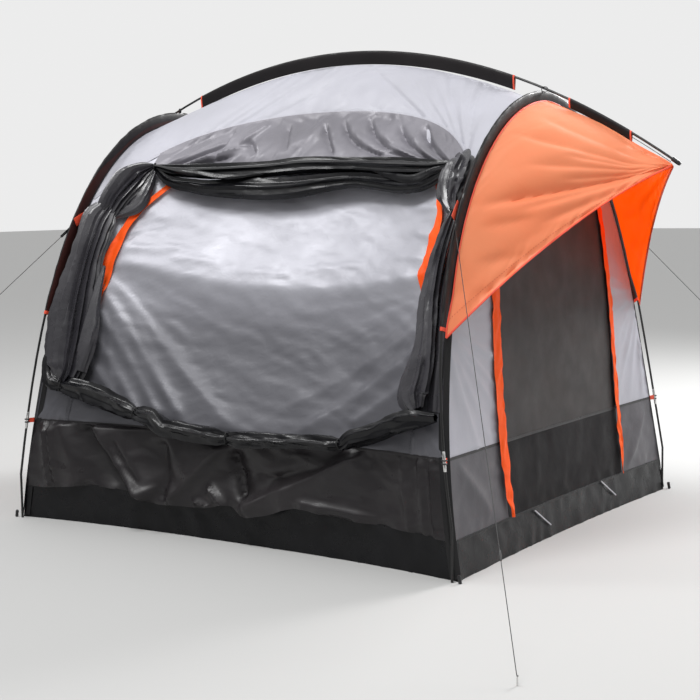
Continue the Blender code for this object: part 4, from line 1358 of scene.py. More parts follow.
    def seams(self) -> None:
        """The tapes over the panel's edges, the band's top and the corners."""
        form, end = self.form, self.end
        across = np.linspace(-SEAM_REACH, SEAM_REACH, 150)
        line, out = self.face_line(end, across, np.full(150, form.band_height))
        self.seam("front_band_seam", line, out, Finish.CHARCOAL)
        for word, side in SIDES.items():
            height = np.linspace(0.012, 1.3, 120)
            line, out = self.face_line(end, np.full(120, side * 0.978), height, 0.002)
            self.tailor.tape(f"{word}_corner_strip", line, out, 0.024, Finish.WEBBING, 0.002)
            height = np.linspace(form.band_height, float(form.opening_top(1.0)), 120)
            line, out = self.face_line(end, np.full(120, side * form.opening_share), height)
            self.seam(f"{word}_opening_seam", line, out, Finish.PANEL)


@dataclass(frozen=True)
class Bundle:
    """A gathered or rolled length of the sleeve.

    Each row gives, in thousandths: a share of the way along, the share across the face, the side
    height, the half width along the face, the half depth out of it, and how far the middle stands off.
    """

    rows: Sequence[tuple[int, ...]]
    creases: int
    depth: float
    crumple: float
    seed: int
    ties: tuple[float, ...] = ()
    wander: float = 3.0
    facet: float = 0.045
    turns: float = 1.22
    cells: tuple[int, int] = (110, 300)

    def radius(self, t: Array, angle: Array, length: float) -> Array:
        """The section's radius: flat facets between creases that wander along the bundle.

        Args:
            t: Shares of the way along, as a column.
            angle: Angles round the section, as a row.
            length: How long the bundle is.

        Returns:
            The radius as a share of the rows' half width.
        """
        noise, k = Noise(self.seed), np.arange(self.creases)
        at = 2 * np.pi * (k + 0.7 * (noise.at(t * self.wander + 7.0 * k, 3.7 * k) - 0.5)) / self.creases
        high = noise.at(t * self.wander * 1.2 + 40 + 5 * k, 1.3 * k)
        high = 1 + self.depth * np.where(k % 2, 0.3 + 0.35 * high, -0.75 + 0.5 * high)
        total, turn = np.ones(np.broadcast(t, angle).shape), angle % (2 * np.pi)
        for j in range(self.creases):
            after = (j + 1) % self.creases
            start, wide = at[:, j, None], at[:, after, None] - at[:, j, None] + 2 * np.pi * (after == 0)
            local, a, b = (turn - start) % (2 * np.pi), high[:, j, None], high[:, after, None]
            chord = a * b * np.sin(wide) / (a * np.sin(local) + b * np.sin(wide - local))
            total = np.where(local < wide, chord, total)
        crumple = noise.facets(t * length / self.facet, angle * 1.7 + 60) - 0.5
        finer = noise.facets(t * length / self.facet * 2.3 + 33, angle * 3.6 + 20) - 0.5
        near = self.tied(t, 0.05 / length)
        rays = 0.13 * near * np.sin(angle * 9 + 3 * noise.at(t * 4, 80.0))
        return total + self.crumple * (crumple + 0.4 * finer) + rays

    def tied(self, t: Array, width: float) -> Array:
        """How near each share is to a tie, 1 at the tie."""
        return sum((np.exp(-(((t - at) / width) ** 2)) for at in self.ties), np.zeros(np.shape(t)))


BUNDLES = {
    "upper_roll": (Bundle((
        (0, -785, 1587, 12, 12, 36), (50, -720, 1548, 24, 22, 55), (160, -560, 1492, 36, 30, 82),
        (370, -200, 1452, 37, 32, 100), (500, 0, 1458, 40, 33, 104), (660, 300, 1463, 36, 32, 100),
        (810, 560, 1486, 38, 32, 90), (930, 770, 1540, 28, 24, 58), (1000, 870, 1588, 13, 12, 36),
    ), 14, 0.44, 0.09, 51, wander=2.2, facet=0.12, cells=(76, 190)), ("sleeve_roll_top",)),
    "upper_roll_lower_lobe": (Bundle((
        (0, -785, 1583, 10, 10, 32), (50, -720, 1512, 22, 20, 45), (160, -560, 1436, 34, 30, 64),
        (360, -200, 1388, 54, 42, 80), (470, -50, 1386, 52, 42, 82), (650, 280, 1414, 36, 34, 74),
        (820, 620, 1432, 38, 32, 66), (930, 770, 1492, 28, 24, 48), (1000, 870, 1583, 11, 10, 32),
    ), 14, 0.4, 0.1, 57, wander=2.4, facet=0.12, cells=(76, 190)), ("sleeve_roll_top",)),
    "upper_roll_tuck": (Bundle((
        (0, -785, 1585, 8, 8, 48), (250, -660, 1508, 16, 12, 94), (500, -530, 1462, 20, 14, 112),
        (800, -340, 1420, 18, 13, 126), (1000, -180, 1424, 5, 5, 120),
    ), 6, 0.3, 0.16, 58, wander=3.0, facet=0.06, cells=(32, 64)), ("sleeve_roll_top",)),
    "upper_roll_corner": (Bundle((
        (0, 870, 1585, 8, 8, 40), (300, 790, 1520, 22, 14, 70), (600, 670, 1450, 34, 16, 90),
        (850, 520, 1440, 20, 12, 98), (1000, 420, 1446, 5, 5, 98),
    ), 5, 0.36, 0.2, 59, wander=3.0, facet=0.07, cells=(32, 50)), ("sleeve_roll_top",)),
    "lower_roll": (Bundle((
        (0, -965, 860, 20, 18, 36), (50, -962, 760, 34, 28, 46), (100, -935, 675, 42, 36, 56),
        (160, -860, 640, 48, 42, 62), (233, -700, 600, 56, 48, 66), (348, -450, 520, 46, 43, 62),
        (449, -230, 489, 43, 42, 60), (564, 20, 470, 40, 40, 58), (656, 220, 478, 36, 38, 57),
        (738, 400, 490, 34, 37, 56), (809, 555, 494, 36, 38, 57), (876, 700, 540, 39, 40, 58),
        (931, 840, 605, 46, 40, 56), (1000, 975, 640, 20, 16, 30),
    ), 12, 0.34, 0.28, 52, (0.155, 0.344, 0.564, 0.809), 6.0, 0.065, cells=(60, 210)),
        ("sleeve_roll_bottom",)),
    "left_upper_gather": (Bundle((
        (0, -790, 1590, 14, 12, 36), (200, -828, 1575, 50, 30, 46), (500, -866, 1540, 74, 40, 54),
        (800, -902, 1475, 62, 36, 50), (1000, -915, 1430, 56, 26, 40),
    ), 30, 0.6, 0.08, 61, wander=1.8, facet=0.05, cells=(116, 48)), ("sleeve_gather_left",)),
    "left_gather": (Bundle((
        (0, -914, 1437, 86, 38, 42), (50, -926, 1400, 80, 34, 46), (160, -928, 1300, 74, 38, 50),
        (420, -920, 1100, 84, 42, 52), (620, -906, 950, 102, 44, 54), (820, -884, 790, 104, 44, 56),
        (940, -872, 690, 80, 40, 56), (1000, -890, 645, 42, 30, 50),
    ), 34, 0.58, 0.1, 62, (0.0,), 2.0, 0.05, cells=(140, 120)), ("sleeve_gather_left",)),
    "left_loose_fold": (Bundle((
        (0, -842, 1160, 8, 8, 60), (300, -830, 1020, 26, 16, 74), (700, -800, 830, 46, 22, 80),
        (1000, -800, 700, 36, 22, 70),
    ), 9, 0.34, 0.16, 63, wander=3.0, facet=0.06, cells=(40, 54)), ("sleeve_gather_left",)),
    "left_tucked_fold": (Bundle((
        (0, -778, 1560, 10, 8, 34), (350, -785, 1478, 36, 18, 40), (700, -805, 1410, 38, 18, 40),
        (1000, -875, 1395, 16, 12, 34),
    ), 9, 0.36, 0.14, 64, wander=3.0, facet=0.05, cells=(40, 34)), ("sleeve_gather_left",)),
    "right_upper_gather": (Bundle((
        (0, 872, 1602, 20, 18, 36), (180, 922, 1604, 62, 36, 50), (450, 926, 1552, 82, 44, 55),
        (700, 928, 1492, 76, 40, 52), (880, 945, 1452, 44, 30, 46), (1000, 964, 1432, 22, 20, 38),
    ), 15, 0.52, 0.3, 65, wander=3.0, facet=0.075, cells=(72, 54)), ("sleeve_gather_right",)),
    "right_gather": (Bundle((
        (0, 966, 1437, 22, 20, 38), (80, 953, 1375, 30, 22, 40), (260, 925, 1225, 44, 26, 44),
        (420, 905, 1100, 58, 28, 44), (660, 910, 910, 60, 28, 46), (800, 894, 800, 76, 30, 48),
        (930, 872, 700, 72, 30, 50), (1000, 890, 655, 34, 22, 44),
    ), 16, 0.5, 0.18, 66, (0.0,), 2.6, 0.06, cells=(72, 120)), ("sleeve_gather_right",)),
}


@dataclass
class TunnelSleeve(Shop):
    """The sleeve for a vehicle's rear, rolled up and tied round the opening."""

    end: float = -1.0
    knots: tuple[float, float] = (-0.785, 0.87)

    def build(self) -> None:
        """Makes the hanging part, the rolls, the side gathers and the ties."""
        self.veil()
        for name, (plan, nodes) in BUNDLES.items():
            self.bundle(name, plan, nodes)
        self.webs()
        self.ties()

    def veil(self) -> None:
        """The hanging part from the seam down behind the upper roll."""
        form = self.form
        left, right = self.knots

        def place(u: Array, v: Array) -> Array:
            across = mix(left, right, mix(-0.01, 1.01, u))
            high = form.opening_top(across) - 0.004
            low = 1.47 + 0.11 * (2 * u - 1) ** 2
            off = mix(0.055 * pinch(u, 0.5) + 0.022, 0.01, smooth(v) ** 2)
            return form.off_face(across, mix(low, high, v), self.end, off)

        s = self.spot
        knot_l, knot_r = s(-0.785, 1.585), s(0.87, 1.59)
        folds = self.creases((
            (-0.465, 1.69, -0.5, 1.55, -0.016, 0.014, 0.5), (-0.2, 1.68, -0.12, 1.55, -0.012, 0.014, 0.5),
            (0.0, 1.67, 0.14, 1.53, -0.018, 0.014, 0.5), (0.08, 1.69, 0.44, 1.55, -0.024, 0.016, 0.5, -0.04),
            (0.22, 1.7, 0.58, 1.56, -0.026, 0.016, 0.5, -0.04),
            (0.4, 1.69, 0.78, 1.57, -0.028, 0.018, 0.5, -0.03),
            (0.56, 1.71, 0.85, 1.59, -0.026, 0.018, 0.5, -0.03), (0.87, 1.59, 0.35, 1.575, 0.02, 0.016, 0.5),
            (0.87, 1.585, 0.5, 1.55, -0.018, 0.014, 0.5), (-0.785, 1.58, -0.45, 1.64, -0.018, 0.014, 0.5),
            (-0.785, 1.575, -0.3, 1.6, 0.018, 0.018, 0.5), (-0.785, 1.575, -0.38, 1.56, -0.018, 0.014, 0.5),
            (-0.36, 1.63, -0.28, 1.55, -0.014, 0.012, 0.5), (-0.3, 1.69, -0.4, 1.6, 0.012, 0.012, 0.5),
        ), 1.4)
        folds += [
            Crumple(0.018, 0.07, 1.8, 60, 53, 2),
            Fan(knot_r, 162, 32, 10, -0.014, 0.6, 0.05, 54, 0.16),
            Fan(knot_l, 18, 32, 10, -0.014, 0.5, 0.05, 55, 0.16),
            Pucker(Edge.TOP, 0.008, 0.05, 0.05, 56),
        ]
        # Its finish is the sleeve cloth painted lighter: a painted reflection of the sky.
        self.tailor.sheet(
            "sleeve_hanging_cloth", place, (190, 42), Finish.VEIL, folds, replaces=["sleeve_veil"],
            held=Held.HUNG, hangs_on=["front_roof_cloth"], free=[Edge.BOTTOM], fade=0.045,
        )

    def bundle(self, name: str, plan: Bundle, replaces: Sequence[str]) -> None:
        """Winds a sheet round a line on the face, with folds that run along it."""
        t = np.linspace(0, 1, plan.cells[1] + 1)
        across, height, wide, deep, off = rail(np.array(plan.rows) / 1000, t).T
        centre = self.form.off_face(across, height, self.end, off)
        run = unit(np.gradient(centre, axis=0))
        away = self.form.face_normal(across, height, self.end)
        out = unit(away - run * np.sum(run * away, axis=-1, keepdims=True))
        side = unit(np.cross(run, out))
        length = float(np.linalg.norm(np.diff(centre, axis=0), axis=-1).sum())
        pull = 1 - 0.36 * np.minimum(1, plan.tied(t, 0.035 / length))
        turn = np.linspace(0, plan.turns, plan.cells[0] + 1)[None, :]
        angle = -2.2 + 2 * np.pi * turn
        radius = plan.radius(t[:, None], angle, length) * (1 - 0.16 * turn / plan.turns)
        offset = side[:, None] * (np.cos(angle) * (wide * pull)[:, None] * radius)[..., None]
        offset = offset + out[:, None] * (np.sin(angle) * (deep * pull)[:, None] * radius)[..., None]
        grid = centre[:, None] + offset
        normals = self.tailor.normals(grid)
        facing = np.sign(np.sum(normals * offset, axis=-1).mean())
        # Gathers and folds take the lighter copy of the sleeve cloth, a painted sheen; the rolls take the
        # sleeve cloth itself.
        kind = Finish.GATHER if name.endswith(("gather", "fold")) else Finish.SLEEVE
        made = self.tailor.thick(name, grid, normals * facing, ROLLED, kind)
        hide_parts(*replaces)
        self.tailor.declare(made, grid, Held.GATHERED, ["front_roof_cloth"], False)

    def webs(self) -> None:
        """The dark cloth between each gather and its arch."""
        form = self.form
        outer = {
            "left": ((0.66, -0.97), (0.88, -0.985), (1.26, -0.98), (1.435, -0.93), (1.605, -0.87)),
            "right": ((0.66, 0.945), (0.94, 0.955), (1.235, 0.94), (1.435, 0.975), (1.6, 0.96)),
        }
        for word, side in SIDES.items():
            noise, web_top = Noise(60 + int(side)), 1.46 if side < 0 else 1.6

            def web(u: Array, v: Array, far=outer[word], side=side, noise=noise, web_top=web_top) -> Array:
                height = mix(0.66, web_top, v)
                start = rail(far, height)[..., 0] - side * 0.03
                wave = 0.005 * (noise.facets(height * 9, u * 4) - 0.5) * np.sin(np.pi * u)
                wave = wave + 0.012 * (noise.facets(u * 7 + 20, height * 1.6) - 0.5) * np.sin(np.pi * u)
                return form.off_face(mix(start, side * 0.997, u), height, self.end, mix(0.012, 0.002, u) + wave)

            # The webs take the lighter copy of the sleeve cloth, a painted sheen.
            self.tailor.sheet(
                f"{word}_gather_web", web, (18, 76), Finish.GATHER, (), held=Held.STRETCHED,
                replaces=[f"sleeve_gather_{word}"], hangs_on=["front_roof_cloth"], fade=0.001,
            )

    def ties(self) -> None:
        """The tapes that hold the rolls and gathers."""
        for name, across, height, wide, turn, out in (
            ("left_gather_tie", -0.912, 1.435, 0.057, 0.35, 0.04),
            ("right_gather_tie", 0.966, 1.437, 0.022, 0.1, 0.038),
            ("roll_tie_0", -0.87, 0.643, 0.034, 1.4, 0.062), ("roll_tie_1", -0.455, 0.52, 0.032, 1.3, 0.062),
            ("roll_tie_2", 0.02, 0.47, 0.029, 1.57, 0.058), ("roll_tie_3", 0.555, 0.494, 0.027, 1.8, 0.057),
            ("left_roll_tie", -0.787, 1.587, 0.018, 1.2, 0.036),
            ("right_roll_tie", 0.872, 1.595, 0.02, 1.8, 0.036),
        ):
            self.loop(name, across, height, wide, min(0.9 * wide, 0.028), turn, out)

    def loop(
        self, name: str, across: float, height: float, wide: float, deep: float, turn: float, out: float
    ) -> None:
        """A flat tape wound round a bundle, in the plane given by a turn about the face's normal."""
        form = self.form
        u, h = np.array(across), np.array(height)
        centre = form.off_face(u, h, self.end, out)
        normal = form.face_normal(u, h, self.end)
        level_dir = unit(form.face(u + 0.01, h, self.end) - form.face(u - 0.01, h, self.end))
        up = np.cross(level_dir, normal) * -1
        side = level_dir * math.cos(turn) + up * math.sin(turn)
        angle = np.linspace(0, 2 * np.pi, 40, endpoint=False)[:, None]
        wobble = 1 + 0.06 * np.sin(3 * angle + across * 7)
        ring = side * np.cos(angle) * wide * wobble + normal * np.sin(angle) * deep * wobble
        self.tailor.tape(name, centre + ring, unit(ring), TIE_WIDTH, Finish.WEBBING, TIE_THICKNESS, closed=True)


@dataclass
class SideWall(Shop):
    """A side wall: dark bands, the silver arch, and the mesh door with its zips and flaps."""

    word: str
    side: float

    def build(self) -> None:
        """Makes the wall's cloth, its door and its seams."""
        self.arch()
        self.bands()
        self.door()
        self.flaps()
        self.zips()
        self.seams()

    def arch(self) -> None:
        """The silver surround."""
        form, side = self.form, self.side

        def place(u: Array, v: Array) -> Array:
            angle = np.pi * (1 - u)
            reach = mix(form.door_reach(angle), form.seam_reach(angle), v)
            y = reach * np.cos(angle) + form.door_shift * (1 - v)
            return form.wall(y, form.band_height + reach * np.sin(angle), side)

        folds: list[Relief] = [
            Fan((-1.0, 1.02), -35, 65, 13, 0.018, 0.62, 0.05, 71, 0.2),
            Fan((1.0, 1.02), -155, 75, 13, 0.016, 0.5, 0.06, 72, 0.2),
            Fan((0.0, 1.93), -90, 88, 15, 0.007, 0.5, 0.1, 73),
            Pucker(Edge.TOP, 0.006, 0.055, 0.06, 74),
            Pucker(Edge.BOTTOM, 0.006, 0.045, 0.05, 75),
            Crumple(0.006, 0.11, 2.0, 60, 76, 2),
        ]
        self.tailor.sheet(
            f"{self.word}_wall_cloth", place, (210, 24), Finish.SILVER, folds, axes=(1, 2),
            centre=(0, 0, 1), replaces=[f"{self.word}_wall_arch"], hangs_on=[f"arch_pole_{self.word}"],
        )

    def bands(self) -> None:
        """The dark lower cloth on both sides of the door."""
        form, side = self.form, self.side
        for end_word, end in ENDS.items():

            def place(u: Array, v: Array, end=end) -> Array:
                height = mix(form.tub_height, form.band_height, v)
                edge = form.door_half_width + end * form.door_shift
                return form.wall(end * mix(edge, form.seam_y(height), u), height, side)

            folds: list[Relief] = [
                Sag((end * 0.8, 0.3), (0.16, 0.12), 0.012),
                Crease((end * 0.98, 0.46), (end * 0.7, 0.17), 0.012, 0.04, 0.3),
                Crumple(0.006, 0.09, 1.6, 40, 81, 3),
                Pucker(Edge.LEFT, 0.007, 0.05, 0.06, 82),
                Pucker(Edge.BOTTOM, 0.006, 0.06, 0.05, 83),
            ]
            # The side bands take the lighter copy of the charcoal cloth: painted light.
            self.tailor.sheet(
                f"{self.word}_{end_word}_low_cloth", place, (30, 22), Finish.SIDE_BAND, folds, axes=(1, 2),
                replaces=[f"{self.word}_band_{end_word}"], hangs_on=[f"{self.word}_wall_cloth"],
            )

    def door(self) -> None:
        """The mesh and the dark cloth at its foot."""
        form, side = self.form, self.side

        def mesh(u: Array, v: Array) -> Array:
            y = np.sin(np.pi / 2 * mix(-0.98, 0.98, u)) * form.door_half_width
            return form.wall(y + form.door_shift, mix(form.band_height, form.door_top(y), v), side)

        def foot(u: Array, v: Array) -> Array:
            y = mix(-1, 1, u) * (form.door_half_width - 0.003) + form.door_shift
            return form.wall(y, mix(form.tub_height, form.band_height, v), side)

        soft: list[Relief] = [
            Fan((-0.55, 1.5), -60, 60, 8, 0.01, 0.8, 0.1, 91),
            Fan((0.5, 0.5), 120, 60, 7, 0.008, 0.8, 0.1, 92),
            Crumple(0.008, 0.2, 2.4, 75, 93, 2),
        ]
        self.tailor.sheet(
            f"{self.word}_door_mesh", mesh, (44, 48), Finish.MESH, soft, axes=(1, 2), thickness=MESH,
            replaces=[f"{self.word}_door"], hangs_on=[f"{self.word}_wall_cloth"],
        )
        low: list[Relief] = [
            Crumple(0.01, 0.13, 2.0, 70, 94, 2), Sag((0, 0.3), (0.4, 0.13), 0.012),
            Pucker(Edge.BOTTOM, 0.007, 0.07, 0.05, 95),
        ]
        self.tailor.sheet(
            f"{self.word}_door_foot", foot, (64, 20), Finish.DOOR_FOOT, low, axes=(1, 2),
            replaces=[f"{self.word}_door"], hangs_on=[f"{self.word}_door_mesh"],
        )

    def flaps(self) -> None:
        """The orange storm flaps, twisted and puckered by their stitching."""
        form, side = self.form, self.side
        for end_word, end in ENDS.items():
            width = 0.066 if end < 0 else 0.044
            noise = Noise(100 + int(side) + 3 * int(end))

            def place(u: Array, v: Array, end=end, width=width, noise=noise) -> Array:
                height = mix(form.tub_height + 0.004, 1.64, v)
                full = width * mix(0.9, 1.1, noise.facets(height * 11, 2.0))
                wide = full * mix(0.3, 1.0, smooth((height - form.tub_height) / 0.12))
                jitter = 0.003 * (noise.facets(height * 12, 7.0) - 0.5)
                y = form.door_half(height) - 0.5 * full + u * wide + jitter
                wave = 0.01 * (noise.facets(height * 24, u * 2.4 + 5) - 0.35)
                return form.wall(end * y + form.door_shift, height, side, 0.013 + wave)

            self.tailor.sheet(
                f"{self.word}_{end_word}_door_flap", place, (8, 140), Finish.FLAP,
                [Crumple(0.004, 0.022, 1.6, 20, 104)], axes=(1, 2), fade=0.001,
                replaces=[f"{self.word}_door_flap_{end_word}"], hangs_on=[f"{self.word}_wall_cloth"],
            )

    def zips(self) -> None:
        """The zip round the door's top, with its teeth and two pulls."""
        form = self.form
        angle = np.linspace(0.02, np.pi - 0.02, 240)
        reach = form.door_reach(angle)
        line, out = self.wall_line(
            self.side, reach * np.cos(angle) + form.door_shift, form.band_height + reach * np.sin(angle), 0.0015
        )
        self.tailor.tape(f"{self.word}_door_zip_tape", line, out, 0.022, Finish.WEBBING)
        self.sewing.sew(
            f"{self.word}_door_zip_teeth", [(line + out * 0.0018, out)], Finish.MOULDED, 0.006,
            (0.003, 0.007, 0.002),
        )
        for k, (y, z) in enumerate(((-0.33, 0.145), (0.38, 0.155))):
            hang, normal = self.wall_line(
                self.side, np.linspace(y, y + 0.14, 16), np.linspace(z, z - 0.09, 16), 0.008
            )
            self.tailor.tape(f"{self.word}_zip_pull_{k}", hang, normal, 0.006, Finish.PALE_THREAD, 0.003)

    def seams(self) -> None:
        """The tapes over the band's top, the floor's seam and both corners."""
        form, side = self.form, self.side
        y = np.linspace(-1, 1, 120)
        for name, height, kind in (
            ("band", form.band_height, Finish.CHARCOAL), ("tub", form.tub_height, Finish.TUB),
        ):
            depth = y * float(form.seam_y(height))
            line, out = self.wall_line(side, depth, np.full(120, height))
            self.seam(f"{self.word}_{name}_seam", line, out, kind)
        for end_word, end in ENDS.items():
            height = np.concatenate([np.linspace(0.012, 1.5, 90), np.linspace(1.5, form.seam_top, 80)[1:]])
            line = form.wall(end * form.seam_y(height), height, side, 0.001)
            out = unit(np.broadcast_to([side, end * 0.8, 0.15], line.shape))
            self.tailor.tape(f"{self.word}_{end_word}_corner_tape", line, out,
                                  0.026 if end < 0 else 0.008, Finish.WEBBING, 0.002)


@dataclass
class Awning(Shop):
    """The peaked orange awning over a door, held by the end of the ridge pole."""

    word: str
    side: float
    crest_gap: float = 0.001
    near_tip: float = 0.985

    def build(self) -> None:
        """Makes both panels, their hems and the seam tapes."""
        for end_word, end in ENDS.items():
            self.panel(end_word, end)

    def panel(self, end_word: str, end: float) -> None:
        """One half of the awning."""
        form, side = self.form, self.side
        low = form.arch_angle(form.sleeve_end_height - 0.025)
        tip_x = form.ridge_half_reach - 0.028
        tip = np.array([side * tip_x, end * self.crest_gap, form.ridge_z(tip_x) - 0.022])

        def place(u: Array, v: Array) -> Array:
            angle = mix(low, np.pi / 2 - 0.004, v)
            (y, z), (out_y, out_z) = form.arch(angle), form.arch_outward(angle)
            gap = mix(0.016, form.seam_gap_sleeve - 0.01, smooth((z - form.sleeve_end_height + 0.02) / 0.2))
            seam = stack(
                side * (form.pole_x(z) + 0.012), end * np.maximum(self.crest_gap, y - gap * out_y),
                z - gap * out_z,
            )
            along = self.near_tip * u
            point = mix(seam, tip, along[..., None])
            crest_x = mix(float(form.pole_x(form.arch_height)) + 0.012, tip_x, along)
            straight = mix(form.seam_top + 0.004, tip[2], along)
            sewn = mix(form.seam_gap_sleeve, form.awning_sew_drop, smooth(along * 2))
            drop = mix(sewn, 0.022, smooth((along - 0.7) / 0.3))
            crest = (form.ridge_z(crest_x) - drop - straight) * v**3
            cut = 0.3 * along * (1 - along) * (1 - v) ** 2
            return point + stack(0, -end * cut * 0.4, crest + cut)

        # Front panels take the paler orange with its painted sunlit sheen; back panels take the shaded copy.
        made, grid, out = self.tailor.sheet(
            f"{self.word}_{end_word}_awning_cloth", place, (92, 82) if end < 0 else (72, 64),
            Finish.ORANGE if end < 0 else Finish.ORANGE_SHADE, self.folds(end, tip),
            axes=(0, 2), centre=(0, 0, 0.9), replaces=[f"{self.word}_awning_{end_word}"],
            hangs_on=["ridge_pole"], fade=0.006,
        )
        name = f"{self.word}_{end_word}_awning"
        self.tailor.tape(f"{name}_hem", grid[0], out[0], 0.009, Finish.ORANGE_TAPE, 0.0028, -0.001)
        self.sewing.sew(f"{name}_stitches", [(grid[3] + out[3] * 0.001, out[3])], Finish.ORANGE_THREAD)
        self.tailor.tape(f"{name}_seam", grid[:, 0], out[:, 0], 0.007, Finish.ORANGE_TAPE, 0.002)

    def folds(self, end: float, tip: Array) -> list[Relief]:
        """Creases that run back from the tip to the arch, and puckers at the hem."""
        at, shift = (float(tip[0]), float(tip[2])), 0.0 if end * self.side < 0 else 0.035
        creases: list[Relief] = []
        for height, first, reach, depth, width in (
            (1.9, 0.16, 0.92, 0.01, 0.016), (1.8, 0.05, 0.98, 0.015, 0.017), (1.735, 0.22, 0.62, 0.009, 0.013),
            (1.66, 0.08, 0.82, 0.013, 0.018), (1.56, 0.16, 0.6, 0.009, 0.015),
            (1.475, 0.03, 1.02, 0.026, 0.021),
            (1.4, 0.12, 0.78, 0.015, 0.018), (1.26, 0.1, 0.66, 0.013, 0.018), (1.1, 0.2, 0.55, 0.009, 0.016),
        ):
            seam = (self.side * (float(self.form.pole_x(height)) + 0.01), height + shift)
            goal = (mix(at[0], seam[0], reach), mix(at[1], seam[1], reach))
            start = (mix(at[0], seam[0], first - 0.1), mix(at[1], seam[1], first - 0.1))
            creases.append(Crease(start, goal, -1.3 * depth, 1.25 * width, 0.5 * self.side, 0.0, 0.3))
        x = self.side
        creases += [
            Crease((x * a, b), (x * c, d), depth, width, 0.4 * x, 0.0, 0.4)
            for a, b, c, d, depth, width in (
                (1.44, 1.33, 1.17, 1.14, -0.014, 0.03), (1.36, 1.2, 1.12, 1.04, -0.012, 0.022),
                (1.12, 1.4, 1.32, 1.44, -0.01, 0.022), (1.13, 1.25, 1.34, 1.3, -0.01, 0.024),
                (1.14, 1.12, 1.26, 1.17, -0.009, 0.018),
            )
        ]
        return creases + [
            Crumple(0.01, 0.16, 2.4, 35 * x, 113, 2),
            Pucker(Edge.BOTTOM, 0.0075, 0.04, 0.05, 114), Pucker(Edge.LEFT, 0.005, 0.05, 0.05, 115),
            Pucker(Edge.TOP, 0.004, 0.06, 0.05, 116),
        ]


@dataclass
class Back(Shop):
    """The far side: dark band, silver wall, and a mesh window."""

    end: float = 1.0
    centre: float = 1.05
    half_share: float = 0.6
    half_height: float = 0.36
    exponent: float = 4.0

    def rim(self, angle: Array) -> tuple[Array, Array]:
        """Shares and heights on the window's outline."""
        reach = round_reach(angle, self.half_share, self.half_height, self.exponent)
        return reach * np.cos(angle), self.centre + reach * np.sin(angle)

    def build(self) -> None:
        """Makes the wall, the window, the band and the seams."""
        form, tailor = self.form, self.tailor
        low, band = level(form.tub_height), level(form.band_height)
        tailor.sheet(
            "back_low_cloth", self.patch(self.end, (-1, 1), low, band), (90, 16), Finish.CHARCOAL,
            [Crumple(0.007, 0.11, 1.8, 25, 121, 2), Pucker(Edge.BOTTOM, 0.008, 0.08, 0.06, 122),
             Crease((0.9, 0.45), (0.6, 0.17), 0.014, 0.05), Crease((-0.9, 0.45), (-0.6, 0.17), 0.014, 0.05)],
            replaces=["back_band"], hangs_on=["back_wall_cloth"],
        )

        def wall(u: Array, v: Array) -> Array:
            angle = 2 * np.pi * (u + 0.125)
            inside = self.rim(angle)
            middle = (form.band_height + form.opening_top(1.0)) / 2
            half = (form.opening_top(1.0) - form.band_height) / 2
            boxed = np.maximum(np.abs(np.cos(angle)), np.abs(np.sin(angle)))
            across, share = np.cos(angle) / boxed, np.sin(angle) / boxed
            top = half + np.maximum(0, share) * (form.opening_top(across) - form.opening_top(1.0))
            height = middle + share * top
            return form.face(mix(across, inside[0], v), mix(height, inside[1], v), self.end)

        def window(u: Array, v: Array) -> Array:
            share = np.sin(np.pi / 2 * mix(-0.97, 0.97, u))
            flat = (1 - np.abs(share) ** self.exponent) ** (1 / self.exponent)
            return form.face(
                share * self.half_share, self.centre + mix(-1, 1, v) * self.half_height * flat, self.end
            )

        tailor.sheet(
            "back_wall_cloth", wall, (240, 18), Finish.SILVER,
            [Fan((0.98, 1.5), -140, 50, 10, 0.01, 0.6, 0.08, 123),
             Fan((-0.98, 1.5), -40, 50, 10, 0.01, 0.6, 0.08, 124),
             Crumple(0.006, 0.13, 2.0, 60, 125, 2), Pucker(Edge.TOP, 0.004, 0.05, 0.04, 126),
             Pucker(Edge.BOTTOM, 0.005, 0.06, 0.05, 127)],
            wrap=True, replaces=["back_wall"], hangs_on=["back_roof_cloth"],
        )
        tailor.sheet(
            "back_window_mesh", window, (44, 28), Finish.MESH, [Crumple(0.006, 0.16, 2.2, 70, 128)],
            thickness=MESH, replaces=["back_window"], hangs_on=["back_wall_cloth"],
        )
        angle = np.linspace(0, 2 * np.pi, 260, endpoint=False)
        line, out = self.face_line(self.end, *self.rim(angle))
        tailor.tape("back_window_tape", line, out, 0.022, Finish.WEBBING, closed=True)
        across = np.linspace(-SEAM_REACH, SEAM_REACH, 150)
        for name, height, kind in (
            ("band", form.band_height, Finish.CHARCOAL), ("tub", form.tub_height, Finish.TUB),
        ):
            line, out = self.face_line(self.end, across, np.full(150, height))
            self.seam(f"back_{name}_seam", line, out, kind)


